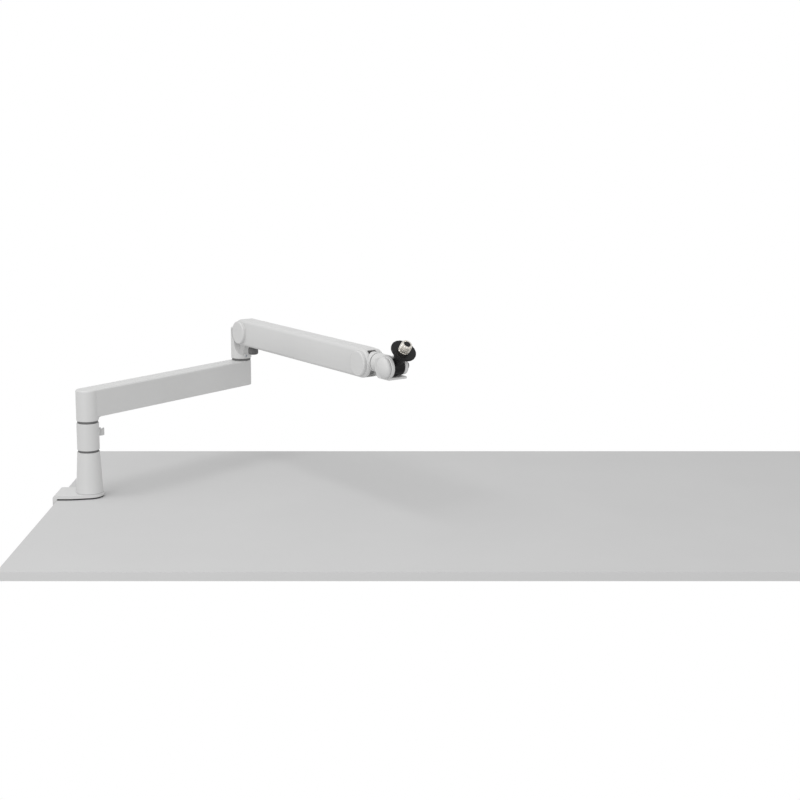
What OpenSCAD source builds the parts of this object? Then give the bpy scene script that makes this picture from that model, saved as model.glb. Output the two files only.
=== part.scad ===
// Low-profile microphone boom arm with a desk clamp.
// Origin: on the desk top, under the column. +Z up, +X from the desk edge over the desk.
// It is drawn in its pose on the desk: the lower arm goes back, the upper arm comes forward.

/* [Pose] */
// Turn of the lower arm about the column, from +X
lower_yaw = 52; // [0:1:90]
// Turn of the upper arm about the elbow, from the lower arm
elbow_turn = -107; // [-140:1:-60]
// Lean of the microphone stud, forward from upright
stud_lean = 40; // [0:1:60]

/* [Desk clamp] */
// Width of the clamp plate along the desk edge
plate_w = 51; // [46:1:60]
// Thickness of the clamp plate
plate_t = 4.5; // [4:0.5:7]
// Thickness of the soft pad under the plate
pad_t = 2; // [1:0.5:4]
// Distance from the column axis to the desk edge
edge_x = 42.5; // [38:0.5:50]
// Thickness of the clamp leg behind the desk edge
leg_t = 6; // [5:0.5:9]
// Thickest desk that fits in the clamp
desk_max = 60; // [45:1:75]
// Thickness of the desk that the clamp is drawn on
desk_t = 30; // [20:1:40]
// Width of the lower jaw
jaw_w = 34; // [30:1:44]
// Thickness of the lower jaw
jaw_t = 9; // [7:0.5:14]
// Distance from the desk edge to the clamp screw
screw_inset = 26; // [20:1:34]
// Diameter of the clamp screw
screw_d = 10; // [8:0.5:12]
// Length of the clamp screw
screw_len = 84; // [78:1:100]
// Diameter of the pressure disc
disc_d = 36; // [30:1:44]
// Diameter of the hand knob
knob_d = 40; // [34:1:50]

/* [Column and riser] */
// Diameter of the column at its foot
foot_d = 39; // [36:0.5:46]
// Diameter of the column's top, the riser, the hub and the elbow
post_d = 32; // [31:0.5:36]
// Height of the column above the clamp plate
column_h = 60; // [54:1:80]
// Height of the riser
riser_h = 39.5; // [36:0.5:60]
// Height of each dark bearing ring
ring_h = 3; // [2:0.25:4]
// Diameter of the dark bearing rings
ring_d = 29.4; // [28:0.2:30]
// Diameter of the spigot that joins riser and column
spigot_d = 20; // [18:0.5:21]
// Diameter of the spindle that carries the arm
spindle_d = 16; // [14:0.5:17]

/* [Lower arm] */
// Length of the lower arm between its two upright axes
lower_len = 318; // [260:1:380]
// Width of the lower arm
lower_w = 30.4; // [29:0.2:31]
// Height of the lower arm
lower_h = 40; // [36:0.5:46]
// Depth of the hub below the lower arm
hub_drop = 5.4; // [3:0.2:8]
// Wall of both arms
wall = 3.2; // [2.5:0.1:4]

/* [Elbow] */
// Distance from the upright elbow axis to the tilt axis
tilt_reach = 21; // [20.5:0.5:24]
// Height of the tilt axis above the lower arm
tilt_rise = 47.3; // [45:0.5:56]
// Height of the elbow's back wall above the tilt axis
back_rise = 5; // [2:0.5:8]
// Thickness of the hinge tongues
tongue_t = 11; // [9:0.5:12]
// Radius of the hinge tongues
tongue_r = 12; // [11:0.5:12.5]
// Thickness of the friction washers
friction_t = 1.5; // [1:0.1:1.7]
// Diameter of the hinge bolts
bolt_d = 8; // [6:0.5:8.5]

/* [Upper arm] */
// Length of the upper arm between its two tilt axes
upper_len = 342; // [280:1:400]
// Width of the upper arm
upper_w = 29; // [28:0.2:31]
// Height of the upper arm and diameter of its round ends
upper_h = 41.2; // [40:0.2:44]
// Diameter of the round caps over the hinge bolts
cap_d = 36; // [33:0.5:37]
// How far the caps stand out of the arm's sides
cap_t = 3.5; // [2.8:0.1:4.5]
// Depth of the shallow dish round each cap
dish_t = 1.1; // [0.8:0.1:1.5]
// How far the dish spreads beyond the cap
dish_run = 5.8; // [4:0.2:7]
// Crown of the upper arm's sides
crown = 0.8; // [0.3:0.1:1]
// Distance from the tilt axis to the tension knob
tension_x = 18; // [17:0.5:19]
// Diameter of the tension knob
tension_d = 16; // [13:0.5:18]

/* [Cable covers] */
// Length of the opening left at each end of a cable channel
cable_gap = 20; // [14:1:30]
// Thickness of the cable covers
cover_t = 3; // [2.4:0.1:4]
// Diameter of the cover magnets
magnet_d = 6; // [5:0.5:8]
// Diameter of the cable that the clip holds
cable_d = 6.2; // [5.5:0.1:7]

/* [Head] */
// Rise of the swivel neck above the upper arm's centre line
neck_rise = 3.7; // [2:0.1:5]
// Diameter of the swivel neck
neck_d = 27; // [25:0.5:28]
// Distance from the head's tilt axis to the fork's bolt
fork_reach = 67; // [64:1:75]
// Gap between the fork's ears
fork_gap = 19; // [17:0.5:20]
// Thickness of each ear of the fork
ear_t = 5.5; // [4.5:0.5:6.5]
// Diameter of the domed knob
dome_d = 29; // [26:0.5:31]
// How far the domed knob stands out
dome_t = 9.6; // [8:0.2:12]
// Diameter of the lock ring below the microphone
lock_d = 36; // [32:1:40]
// Diameter of the stud's outer thread, five eighths of an inch
stud_d = 15.875; // [15.875]
// Diameter of the stud's inner thread, three eighths of an inch
core_d = 9.525; // [9.525]

/* [Hidden] */
$fn = 72;

fit = 0.05;         // radial gap of parts that are pushed, screwed or turned in one another
face_gap = 0.2;     // gap between faces that turn on one another
seat_gap = 0.3;     // gap under a part that stops short of its seat
edge = 1.2;         // chamfer on the painted castings

// Colours
paint = [0.86, 0.86, 0.86];
dark = [0.13, 0.13, 0.14];
rubber = [0.08, 0.08, 0.08];
steel = [0.62, 0.63, 0.65];
brass = [0.72, 0.58, 0.30];

// Heights of the base, from the desk top up
top_z = pad_t + plate_t;
column_top = top_z + column_h;
riser_z = column_top + ring_h;
riser_top = riser_z + riser_h;
hub_z = riser_top + ring_h + face_gap;
lower_z = hub_z + hub_drop;
lower_top = lower_z + lower_h;
swivel_z = lower_top + ring_h + face_gap;
tilt_z = lower_top + tilt_rise;

// Clamp
leg_x = -(edge_x + leg_t);
tip_r = foot_d / 2 + 1;
screw_x = -(edge_x - screw_inset);
disc_t = 3;
disc_pad_t = 2.5;
disc_hub_h = 8;
socket_roof = 1.6;
disc_stack = disc_pad_t + disc_t + disc_hub_h;
jaw_top = -(desk_max + disc_stack + 0.5);
jaw_z = jaw_top - jaw_t;
jaw_r = 13;
screw_top = -(desk_t + disc_pad_t + socket_roof + 0.3);
screw_end = screw_top - screw_len;
bush_d = screw_d + 6;

// Column and riser
column_bush_r = spigot_d / 2 + 2.5;
riser_bush_r = spindle_d / 2 + 4;
spigot_in_column = 26;
spigot_in_riser = 16;
riser_bush_len = 21;
post_r = post_d / 2;
screw_ring_r = 11;
clip_z = riser_z + 0.56 * riser_h;

// Arms
half_lw = lower_w / 2;
half_uw = upper_w / 2;
end_r = upper_h / 2;
elbow_bush_r = spindle_d / 2 + 3;
elbow_bush_len = 29.5;
spindle_in_hub = 34;
spindle_in_swivel = 11;
channel_end = 24;
cover_inset = 0.5;
lower_cover_x0 = channel_end + cable_gap;
lower_cover_x1 = lower_len - channel_end - cable_gap;
upper_channel_x0 = tension_x + 10;
upper_cover_x0 = upper_channel_x0 + cable_gap;
upper_cover_x1 = upper_len - upper_channel_x0 - cable_gap;
bridge_l = 12;
bridge_t = 5;
magnet_t = 2;
slot_half = tongue_t / 2 + friction_t + 0.2;
bore_depth = 4.5;
saddle_gap = 1.6;
bolt_r = bolt_d / 2;
washer_t = 1.5;

// Travel that the tongues have in the arm's round ends, in degrees
elbow_up = 55;
elbow_down = 15;
head_swing = 40;
tongue_gap = 0.6;

// Head, measured from the head's tilt axis
neck_front = 25.5;
wrist_up = 6.5;
wrist_down = 8.5;
roll_t = 1.5;
fork_back = neck_front + roll_t;
fork_root = 50;
ear_out = fork_gap / 2 + ear_t;
near_r = dome_d / 2 + 0.5;
far_r = 12;
lug_r = 12.2;
lug_half = fork_gap / 2 - 0.3;
stud_base = 25;
stud_top = 46;
lock_z = 26;
lock_h = 7.5;
groove_z = lock_z + lock_h + 0.3;
groove_h = 1.2;

// A point turned about the origin
function spun(p, a) = [p[0] * cos(a) - p[1] * sin(a), p[0] * sin(a) + p[1] * cos(a)];

// Points along an arc about c
function arc(c, r, a0, a1, n = 8) =
    [for (i = [0:n]) let (a = a0 + (a1 - a0) * i / n) [c[0] + r * cos(a), c[1] + r * sin(a)]];

// Points along a quarter of an ellipse about c
function oval(c, rx, ry, a0, a1, n = 8) =
    [for (i = [0:n]) let (a = a0 + (a1 - a0) * i / n) [c[0] + rx * cos(a), c[1] + ry * sin(a)]];

// Outline of a tab: straight sides from x0 to x1, then tangents to a round tip at cx
function tab(x0, half, x1, r, cx) =
    let (p = [x1 - cx, half], t = atan2(p[1], p[0]) - acos(r / norm(p)))
    concat([[x0, -half], [x1, -half]], arc([cx, 0], r, -t, t, 28), [[x1, half], [x0, half]]);

// A slab standing in the XZ plane, centred on Y
module slab(points, thick) {
    rotate([90, 0, 0])
        linear_extrude(height = thick, center = true)
            polygon(points);
}

// A round piece about the Y axis; its profile is [radius, distance towards -Y]
module turned_y(points) {
    rotate([90, 0, 0])
        rotate_extrude()
            polygon(points);
}

// A plain cylinder along Y, centred
module rod_y(r, len) {
    rotate([90, 0, 0])
        cylinder(r = r, h = len, center = true);
}

// Frames of the moving bodies
module at_lower() {
    rotate([0, 0, lower_yaw]) children();
}

module at_elbow() {
    at_lower() translate([lower_len, 0, 0]) rotate([0, 0, elbow_turn]) children();
}

module at_tilt() {
    at_elbow() translate([tilt_reach, 0, tilt_z]) children();
}

module at_head() {
    at_tilt() translate([upper_len, 0, 0]) children();
}

module at_neck() {
    at_head() translate([0, 0, neck_rise]) children();
}

module at_fork() {
    at_neck() translate([fork_reach, 0, 0]) children();
}

module at_stud() {
    at_fork() rotate([0, stud_lean, 0]) children();
}

// Clamp casting: plate on the desk, leg behind the edge, jaw below
module clamp_side() {
    corner = 3.5;
    inner = 5;
    slab(concat(
        [[tip_r + 2, pad_t], [tip_r + 2, top_z]],
        arc([leg_x + corner, top_z - corner], corner, 90, 180),
        arc([leg_x + inner, jaw_z + inner], inner, 180, 270),
        [[screw_x + jaw_r + 2, jaw_z], [screw_x + jaw_r + 2, jaw_top]],
        arc([-edge_x + inner, jaw_top + inner], inner, 270, 180),
        [[-edge_x, pad_t]]), plate_w + 10);
}

module clamp_blank() {
    full_z = -8;
    taper_z = -34;
    union() {
        translate([0, 0, full_z])
            linear_extrude(height = top_z - full_z + 1)
                polygon(tab(leg_x - 1, plate_w / 2, -tip_r - 2, tip_r, 0));
        translate([leg_x - 1, 0, 0])
            rotate([90, 0, 90])
                linear_extrude(height = leg_t + 7)
                    polygon([[-plate_w / 2, full_z + 2], [-plate_w / 2, full_z], [-jaw_w / 2, taper_z],
                             [-jaw_w / 2, jaw_z - 1], [jaw_w / 2, jaw_z - 1], [jaw_w / 2, taper_z],
                             [plate_w / 2, full_z], [plate_w / 2, full_z + 2]]);
        translate([0, 0, jaw_z - 1])
            linear_extrude(height = jaw_t + 8)
                polygon(tab(leg_x - 1, jaw_w / 2, leg_x + leg_t + 4, jaw_r, screw_x));
    }
}

module column_screw_places() {
    for (a = [60, 180, 300])
        rotate([0, 0, a]) translate([screw_ring_r, 0, 0]) children();
}

module clamp_frame() {
    rib_t = 5;
    color(paint) difference() {
        union() {
            intersection() {
                clamp_side();
                clamp_blank();
            }
            // Rib in the lower corner
            slab([[-edge_x - 1, jaw_top + 20], [-edge_x - 1, jaw_top - 1],
                  [screw_x - bush_d / 2 - 4, jaw_top - 1]], rib_t);
        }
        translate([screw_x, 0, jaw_z - 1])
            cylinder(d = bush_d + 2 * fit, h = jaw_t + 2);
        column_screw_places() {
            translate([0, 0, pad_t - 1]) cylinder(d = 5.3, h = plate_t + 2);
            translate([0, 0, pad_t - 0.01]) cylinder(d1 = 10.3, d2 = 5.3, h = 2.5);
        }
    }
}

module top_pad() {
    inset = 1.2;
    color(rubber)
        linear_extrude(height = pad_t)
            polygon(tab(-edge_x + 0.5, plate_w / 2 - inset, -tip_r - 2, tip_r - inset, 0));
}

// Threaded steel bush in the jaw, flanged below
module screw_bush() {
    color(steel) translate([screw_x, 0, 0]) difference() {
        union() {
            translate([0, 0, jaw_z]) cylinder(d = bush_d, h = jaw_t);
            translate([0, 0, jaw_z - 2]) cylinder(d = bush_d + 6, h = 2);
        }
        translate([0, 0, jaw_z - 3]) cylinder(d = screw_d + 2 * fit, h = jaw_t + 4);
    }
}

module pressure_disc() {
    z0 = -(desk_t + disc_stack);
    hub_r = screw_d / 2 + 4;
    socket = screw_d / 2 + fit;
    color(dark) translate([screw_x, 0, z0])
        rotate_extrude()
            polygon([[socket, 0], [hub_r - 1, 0], [hub_r, 1], [hub_r, disc_hub_h - 2],
                     [disc_d / 2 - 1, disc_hub_h], [disc_d / 2, disc_hub_h + 1],
                     [disc_d / 2, disc_hub_h + disc_t], [0, disc_hub_h + disc_t],
                     [0, disc_hub_h + disc_t - socket_roof], [socket, disc_hub_h + disc_t - socket_roof]]);
}

module disc_pad() {
    color(rubber) translate([screw_x, 0, -(desk_t + disc_pad_t)])
        rotate_extrude()
            polygon([[0, 0], [disc_d / 2 - 0.5, 0], [disc_d / 2 - 0.5, disc_pad_t - 0.6],
                     [disc_d / 2 - 1.1, disc_pad_t], [0, disc_pad_t]]);
}

module clamp_screw() {
    color(steel) translate([screw_x, 0, screw_end])
        rotate_extrude()
            polygon([[0, 0], [screw_d / 2 - 1, 0], [screw_d / 2, 1], [screw_d / 2, screw_len - 1],
                     [screw_d / 2 - 1, screw_len], [0, screw_len]]);
}

// Hand knob with finger hollows round its rim
module hand_knob() {
    lobes = 7;
    grip_h = 13;
    hub_h = 5;
    z0 = screw_end - 3;
    color(dark) translate([screw_x, 0, z0]) difference() {
        rotate_extrude()
            polygon(concat([[0, 0]], arc([knob_d / 2 - 4, 4], 4, -90, 0, 5),
                           arc([knob_d / 2 - 3, grip_h - 3], 3, 0, 90, 5),
                           [[screw_d / 2 + 5, grip_h], [screw_d / 2 + 4, grip_h + hub_h],
                            [0, grip_h + hub_h]]));
        for (i = [0:lobes - 1])
            rotate([0, 0, i * 360 / lobes]) translate([knob_d / 2 + 3.5, 0, -1])
                cylinder(r = 6.5, h = grip_h + 2);
        translate([0, 0, 3 - 0.02]) cylinder(d = screw_d + 2 * fit, h = grip_h + hub_h);
    }
}

// Tapered column, bored from the top for the riser's bush and spigot
module base_column() {
    bush_z = column_top - 20.5;
    floor_z = column_top - spigot_in_column - seat_gap;
    color(paint) difference() {
        rotate_extrude()
            polygon([[0, top_z], [foot_d / 2 - 0.7, top_z], [foot_d / 2, top_z + 0.9],
                     [foot_d / 2 - 0.35, top_z + 3], [post_r + 0.2, column_top - edge],
                     [post_r + 0.2 - edge, column_top], [column_bush_r + fit, column_top],
                     [column_bush_r + fit, bush_z], [spigot_d / 2 + 0.3, bush_z],
                     [spigot_d / 2 + 0.3, floor_z], [0, floor_z]]);
        column_screw_places()
            translate([0, 0, top_z - 1]) cylinder(d = 5 + 2 * fit, h = 15);
    }
}

module column_screws() {
    color(steel) column_screw_places()
        translate([0, 0, pad_t])
            rotate_extrude()
                polygon([[0, 0], [4.9, 0], [2.5, 2.45], [2.5, plate_t + 13], [0, plate_t + 13]]);
}

// Flanged bush: sleeve of length len down from z, dark ring of height ring_h above it
module ring_bush(z, inner_r, outer_r, len) {
    color(dark) translate([0, 0, z])
        rotate_extrude()
            polygon([[inner_r, -len], [outer_r, -len], [outer_r, 0], [ring_d / 2, 0],
                     [ring_d / 2, ring_h], [inner_r, ring_h]]);
}

module column_bush() {
    ring_bush(column_top, spigot_d / 2 + fit, column_bush_r, 20.2);
}

module riser_spigot() {
    color(steel) translate([0, 0, column_top - spigot_in_column])
        rotate_extrude()
            polygon([[0, 0], [spigot_d / 2 - 1, 0], [spigot_d / 2, 1],
                     [spigot_d / 2, spigot_in_column + ring_h + spigot_in_riser - 1],
                     [spigot_d / 2 - 1, spigot_in_column + ring_h + spigot_in_riser],
                     [0, spigot_in_column + ring_h + spigot_in_riser]]);
}

module riser_tube() {
    lower_bore = riser_z + spigot_in_riser + seat_gap;
    upper_bore = riser_top - riser_bush_len - seat_gap;
    color(paint) difference() {
        rotate_extrude()
            polygon([[spigot_d / 2 + fit, riser_z], [post_r - edge, riser_z], [post_r, riser_z + edge],
                     [post_r, riser_top - edge], [post_r - edge, riser_top],
                     [riser_bush_r + fit, riser_top], [riser_bush_r + fit, upper_bore],
                     [0, upper_bore], [0, lower_bore], [spigot_d / 2 + fit, lower_bore]]);
        // Flat and hole that seat the cable clip
        rotate([0, 0, lower_yaw]) {
            translate([post_r - 0.8, -4.6, clip_z - 5.1]) cube([4, 9.2, 10.2]);
            translate([post_r - 4, 0, clip_z]) rotate([0, 90, 0]) cylinder(d = 2.6, h = 5);
        }
    }
}

module riser_bush() {
    ring_bush(riser_top, spindle_d / 2 + fit, riser_bush_r, riser_bush_len);
}

// Open hook that holds the cable behind the riser
module cable_clip() {
    loop_r = cable_d / 2 + 0.3;
    out_r = loop_r + 1.9;
    cx = post_r + 2.2 + out_r;
    color(paint) rotate([0, 0, lower_yaw]) difference() {
        union() {
            translate([post_r - 0.8, -4.5, clip_z - 5]) cube([3, 9, 10]);
            translate([cx, 0, clip_z - 5]) cylinder(r = out_r, h = 10);
            translate([post_r + 1.5, -2.4, clip_z - 5]) cube([3, 4.8, 10]);
        }
        translate([cx, 0, clip_z - 6]) cylinder(r = loop_r, h = 12);
        // Mouth of the hook
        translate([cx, 0, clip_z - 6]) rotate([0, 0, 25]) translate([0, -1.9, 0]) cube([out_r + 1, 3.8, 12]);
        translate([post_r - 2, 0, clip_z]) rotate([0, 90, 0]) cylinder(d = 2.6, h = 8);
    }
}

module clip_screw() {
    color(steel) rotate([0, 0, lower_yaw])
        translate([post_r - 3.7, 0, clip_z]) rotate([0, 90, 0]) cylinder(d = 2.5, h = 6.5);
}

// Section of the lower arm, as [y, z]
function lower_section() =
    let (r = 2.4, b = 1)
    concat([[-half_lw + b, lower_z], [half_lw - b, lower_z], [half_lw, lower_z + b]],
           arc([half_lw - r, lower_top - r], r, 0, 90, 5),
           arc([-half_lw + r, lower_top - r], r, 90, 180, 5),
           [[-half_lw, lower_z + b]]);

// Half section of a round end of the lower arm, as [radius, z]
function lower_round(r, z0, b) =
    let (c = 2.4)
    concat([[0, z0], [r - b, z0], [r, z0 + b]], arc([r - c, lower_top - c], c, 0, 90, 5),
           [[0, lower_top]]);

// Bridges across a channel, which carry the magnets; x is the middle of each
module bridges(x_list, half, z0) {
    for (x = x_list)
        translate([x - bridge_l / 2, -half - 0.5, z0]) cube([bridge_l, 2 * half + 1, bridge_t]);
}

module magnet_places(x_list, spread) {
    for (x = x_list, s = [-1, 1])
        translate([x, s * spread, 0]) children();
}

lower_bridge_x = [lower_cover_x0 + 24, lower_cover_x1 - 24];
lower_bridge_z = lower_z + cover_inset + cover_t + 0.2;
lower_half = half_lw - wall;
magnet_y = lower_half - magnet_d / 2 - 1.5;

// Fillet from the hub's side to the arm's underside
module hub_fillet() {
    r = hub_drop - edge;
    foot = hub_z + edge;
    intersection() {
        rotate_extrude()
            polygon(concat([[post_r - 2, lower_z + 1], [post_r - 2, foot]],
                           arc([post_r + r, foot], r, 180, 90, 5), [[post_r + r, lower_z + 1]]));
        translate([0, -half_lw + 1, hub_z]) cube([channel_end, lower_w - 2, hub_drop + 1]);
    }
}

module lower_beam() {
    pocket_z = lower_top - elbow_bush_len - seat_gap;
    color(paint) difference() {
        union() {
            difference() {
                union() {
                    rotate_extrude() polygon(lower_round(post_r, hub_z, edge));
                    rotate([90, 0, 90]) linear_extrude(height = lower_len) polygon(lower_section());
                    hub_fillet();
                    translate([lower_len, 0, 0])
                        rotate_extrude() polygon(lower_round(half_lw, lower_z, 1));
                }
                translate([channel_end, -lower_half, lower_z - 1])
                    cube([lower_len - 2 * channel_end, 2 * lower_half, lower_h - wall + 1 - 0.8]);
            }
            bridges(lower_bridge_x, lower_half, lower_bridge_z);
        }
        translate([0, 0, hub_z - 1]) cylinder(d = spindle_d + 2 * fit, h = spindle_in_hub + 1);
        translate([lower_len, 0, pocket_z - 0.01])
            cylinder(r = elbow_bush_r + fit, h = elbow_bush_len + 5);
        translate([lower_len, 0, lower_z - 1]) cylinder(r = elbow_bush_r + 1.8, h = pocket_z - lower_z + 1);
        magnet_places(lower_bridge_x, magnet_y)
            translate([0, 0, lower_bridge_z - 1]) cylinder(d = magnet_d + 2 * fit, h = magnet_t + 1.1);
    }
}

module at_each_magnet_lower(z) {
    magnet_places(lower_bridge_x, magnet_y) translate([0, 0, z]) children();
}

module lower_magnets() {
    color(steel) at_lower() at_each_magnet_lower(lower_bridge_z) cylinder(d = magnet_d, h = magnet_t);
}

// Channel cover with end notches and magnet wells
module cover(x0, x1, half, z0, x_list, spread) {
    lip = 0.3;
    difference() {
        translate([x0, -half + lip, z0]) cube([x1 - x0, 2 * (half - lip), cover_t]);
        // Finger notches at both ends
        for (x = [x0, x1])
            translate([x, 0, z0 - 1]) cylinder(r = 6, h = cover_t + 2);
        // Shallow relief on the outside
        for (s = [-1, 1])
            translate([x0 + 12, s * (half - 4) - 0.6, z0 - 1]) cube([x1 - x0 - 24, 1.2, 1.5]);
        magnet_places(x_list, spread)
            translate([0, 0, z0 + cover_t - magnet_t - 0.1]) cylinder(d = magnet_d + 2 * fit, h = magnet_t + 1);
    }
}

module lower_cover() {
    color(paint) at_lower()
        cover(lower_cover_x0, lower_cover_x1, lower_half, lower_z + cover_inset, lower_bridge_x, magnet_y);
}

module lower_cover_magnets() {
    color(steel) at_lower()
        at_each_magnet_lower(lower_bridge_z - 0.2 - magnet_t) cylinder(d = magnet_d, h = magnet_t);
}

module arm_spindle() {
    tip = riser_top - riser_bush_len + 0.6;
    top = hub_z + spindle_in_hub - seat_gap;
    r = spindle_d / 2;
    color(steel)
        rotate_extrude()
            polygon([[0, tip], [r - 1, tip], [r, tip + 1], [r, top], [0, top]]);
}

module elbow_bush() {
    color(dark) at_elbow() ring_bush(lower_top, spindle_d / 2 + fit, elbow_bush_r, elbow_bush_len);
}

// Edges of the stem that rises from the saddle's floor to the tilt axis, as [x, z]
stem_floor = -(tilt_rise - ring_h - 2.2);
stem_rear = [[-tongue_r, 0], [-tilt_reach + 5, -22]];
stem_front = [[tongue_r / 2, -tongue_r * 0.86], [-tilt_reach + post_r - 0.5, -33]];

// Elbow casting: round post with a scooped saddle and the hinge tongue
module elbow_swivel() {
    top = tilt_z + back_rise;
    scoop_x = tilt_reach + 12;
    scoop_z = tilt_z - 17;
    scoop_r = 28;
    boss_z = swivel_z + 4.6;
    color(paint) at_elbow() difference() {
        union() {
            difference() {
                rotate_extrude()
                    polygon([[0, swivel_z], [post_r - edge, swivel_z], [post_r, swivel_z + edge],
                             [post_r, top - edge], [post_r - edge, top], [0, top]]);
                translate([tilt_reach, 0, tilt_z]) rod_y(end_r + saddle_gap, post_d + 10);
                translate([scoop_x, 0, scoop_z]) rod_y(scoop_r, post_d + 10);
            }
            translate([tilt_reach, 0, tilt_z]) {
                rod_y(tongue_r, tongue_t);
                slab([[0, 0], stem_rear[0], stem_rear[1], [-tilt_reach + 6, stem_floor],
                      [-tilt_reach + post_r - 2, stem_floor], stem_front[1], stem_front[0]], tongue_t);
            }
            // Boss for the set screw
            translate([post_r - 5, 0, boss_z]) rotate([0, 90, 0]) cylinder(r = 4, h = 5.6);
        }
        translate([tilt_reach, 0, tilt_z]) rod_y(bolt_r + fit, tongue_t + 2);
        translate([0, 0, swivel_z - 1]) cylinder(d = spindle_d + 2 * fit, h = spindle_in_swivel + 1);
        translate([spindle_d / 2 - 1, 0, boss_z]) rotate([0, 90, 0]) cylinder(d = 4 + 2 * fit, h = 14);
    }
}

module elbow_set_screw() {
    boss_z = swivel_z + 4.6;
    x0 = spindle_d / 2 + fit;
    color(dark) at_elbow() translate([x0, 0, boss_z]) rotate([0, 90, 0]) difference() {
        cylinder(d = 4, h = post_r + 0.2 - x0);
        translate([0, 0, post_r - 1.8 - x0]) cylinder(d = 2.2, h = 4, $fn = 6);
    }
}

module elbow_spindle() {
    r = spindle_d / 2;
    z0 = lower_top - elbow_bush_len - face_gap;
    top = swivel_z + spindle_in_swivel - seat_gap;
    color(steel) at_elbow() difference() {
        rotate_extrude() polygon([[0, z0], [r, z0], [r, top - 1], [r - 1, top], [0, top]]);
        translate([0, 0, z0 - 1]) cylinder(d = 6 + 2 * fit, h = 17);
    }
}

module retaining_washer() {
    z0 = lower_top - elbow_bush_len - face_gap;
    color(steel) at_elbow() translate([0, 0, z0 - 2]) difference() {
        cylinder(r = elbow_bush_r - 0.5, h = 2);
        translate([0, 0, -1]) cylinder(d = 6.4, h = 4);
    }
}

module retaining_screw() {
    z0 = lower_top - elbow_bush_len - face_gap - 2;
    color(steel) at_elbow() difference() {
        union() {
            translate([0, 0, z0]) cylinder(d = 6, h = 17);
            translate([0, 0, z0 - 4]) cylinder(d = 10, h = 4);
        }
        translate([0, 0, z0 - 5]) cylinder(d = 5.8, h = 3.5, $fn = 6);
    }
}

// Section of the upper arm: crowned sides between soft corners
soft_y = 4.5;
soft_z = 6;
side_h = end_r - soft_z;
corner_y = half_uw - crown - soft_y;

// Half width of the crowned side at height z
function side_y(z) = half_uw - crown * pow(z / side_h, 2);

// The section as [y, z]
function upper_section() =
    concat([for (i = [-2:2]) [side_y(side_h * i / 3), side_h * i / 3]],
           oval([corner_y, side_h], soft_y, soft_z, 0, 90),
           oval([-corner_y, side_h], soft_y, soft_z, 90, 180),
           [for (i = [-2:2]) [-side_y(side_h * i / 3), -side_h * i / 3]],
           oval([-corner_y, -side_h], soft_y, soft_z, 180, 270),
           oval([corner_y, -side_h], soft_y, soft_z, 270, 360));

// Profile of its round ends, as [radius, y]
function upper_round() =
    concat([for (i = [0:2]) [side_h * i / 3, -side_y(side_h * i / 3)]],
           oval([side_h, -corner_y], soft_z, soft_y, -90, 0),
           oval([side_h, corner_y], soft_z, soft_y, 0, 90),
           [for (i = [2:-1:0]) [side_h * i / 3, side_y(side_h * i / 3)]]);

// Room for a tongue in a round end: its disc, and the field that its stem sweeps
module tongue_room(field) {
    rod_y(tongue_r + tongue_gap, 2 * slot_half);
    slab(concat([[0, 0]], field), 2 * slot_half);
}

// Fields swept by the stems, from their outer edges at both ends of the travel
elbow_field = [spun(stem_rear[0] - [tongue_gap, 0], -elbow_up),
               spun(stem_rear[1] - [tongue_gap, 0], -elbow_up), [-end_r - 10, -end_r - 14],
               spun(stem_front[1] + [tongue_gap, 0], elbow_down),
               spun(stem_front[0] + [tongue_gap, 0], elbow_down)];
head_field = [spun([0, tongue_r + tongue_gap], head_swing),
              spun([neck_front - 2, wrist_up + tongue_gap], head_swing), [end_r + 14, end_r + 10],
              [end_r + 14, -end_r - 10],
              spun([neck_front - 2, -wrist_down - tongue_gap], -head_swing),
              spun([0, -tongue_r - tongue_gap], -head_swing)];

// Bolt hole, counterbores and cap dishes of a hinge in the upper arm
module hinge_bores() {
    dish_r = cap_d / 2 + 0.4;
    rod_y(bolt_r + fit, upper_w + 2);
    for (s = [0, 180]) rotate([0, 0, s]) {
        translate([0, -half_uw + bore_depth, 0]) rotate([90, 0, 0])
            cylinder(r = 13 + fit, h = bore_depth + 1);
        turned_y([[0, half_uw - dish_t], [dish_r, half_uw - dish_t],
                  [cap_d / 2 + dish_run, half_uw + 0.1], [cap_d / 2 + dish_run, half_uw + 1],
                  [0, half_uw + 1]]);
    }
}

upper_half = half_uw - wall;
upper_cover_z = -end_r + cover_inset;
upper_bridge_z = upper_cover_z + cover_t + 0.2;
upper_bridge_x = [upper_cover_x0 + 24, upper_cover_x1 - 24];
upper_magnet_y = upper_half - magnet_d / 2 - 1.2;

// Room for the brake wedge, beside the tongue's rim
wedge_back = tongue_r + 0.3;
wedge_front = tension_x + 5;
wedge_half = 6.2;
wedge_top = 5;
wedge_bottom = -10;

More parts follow.
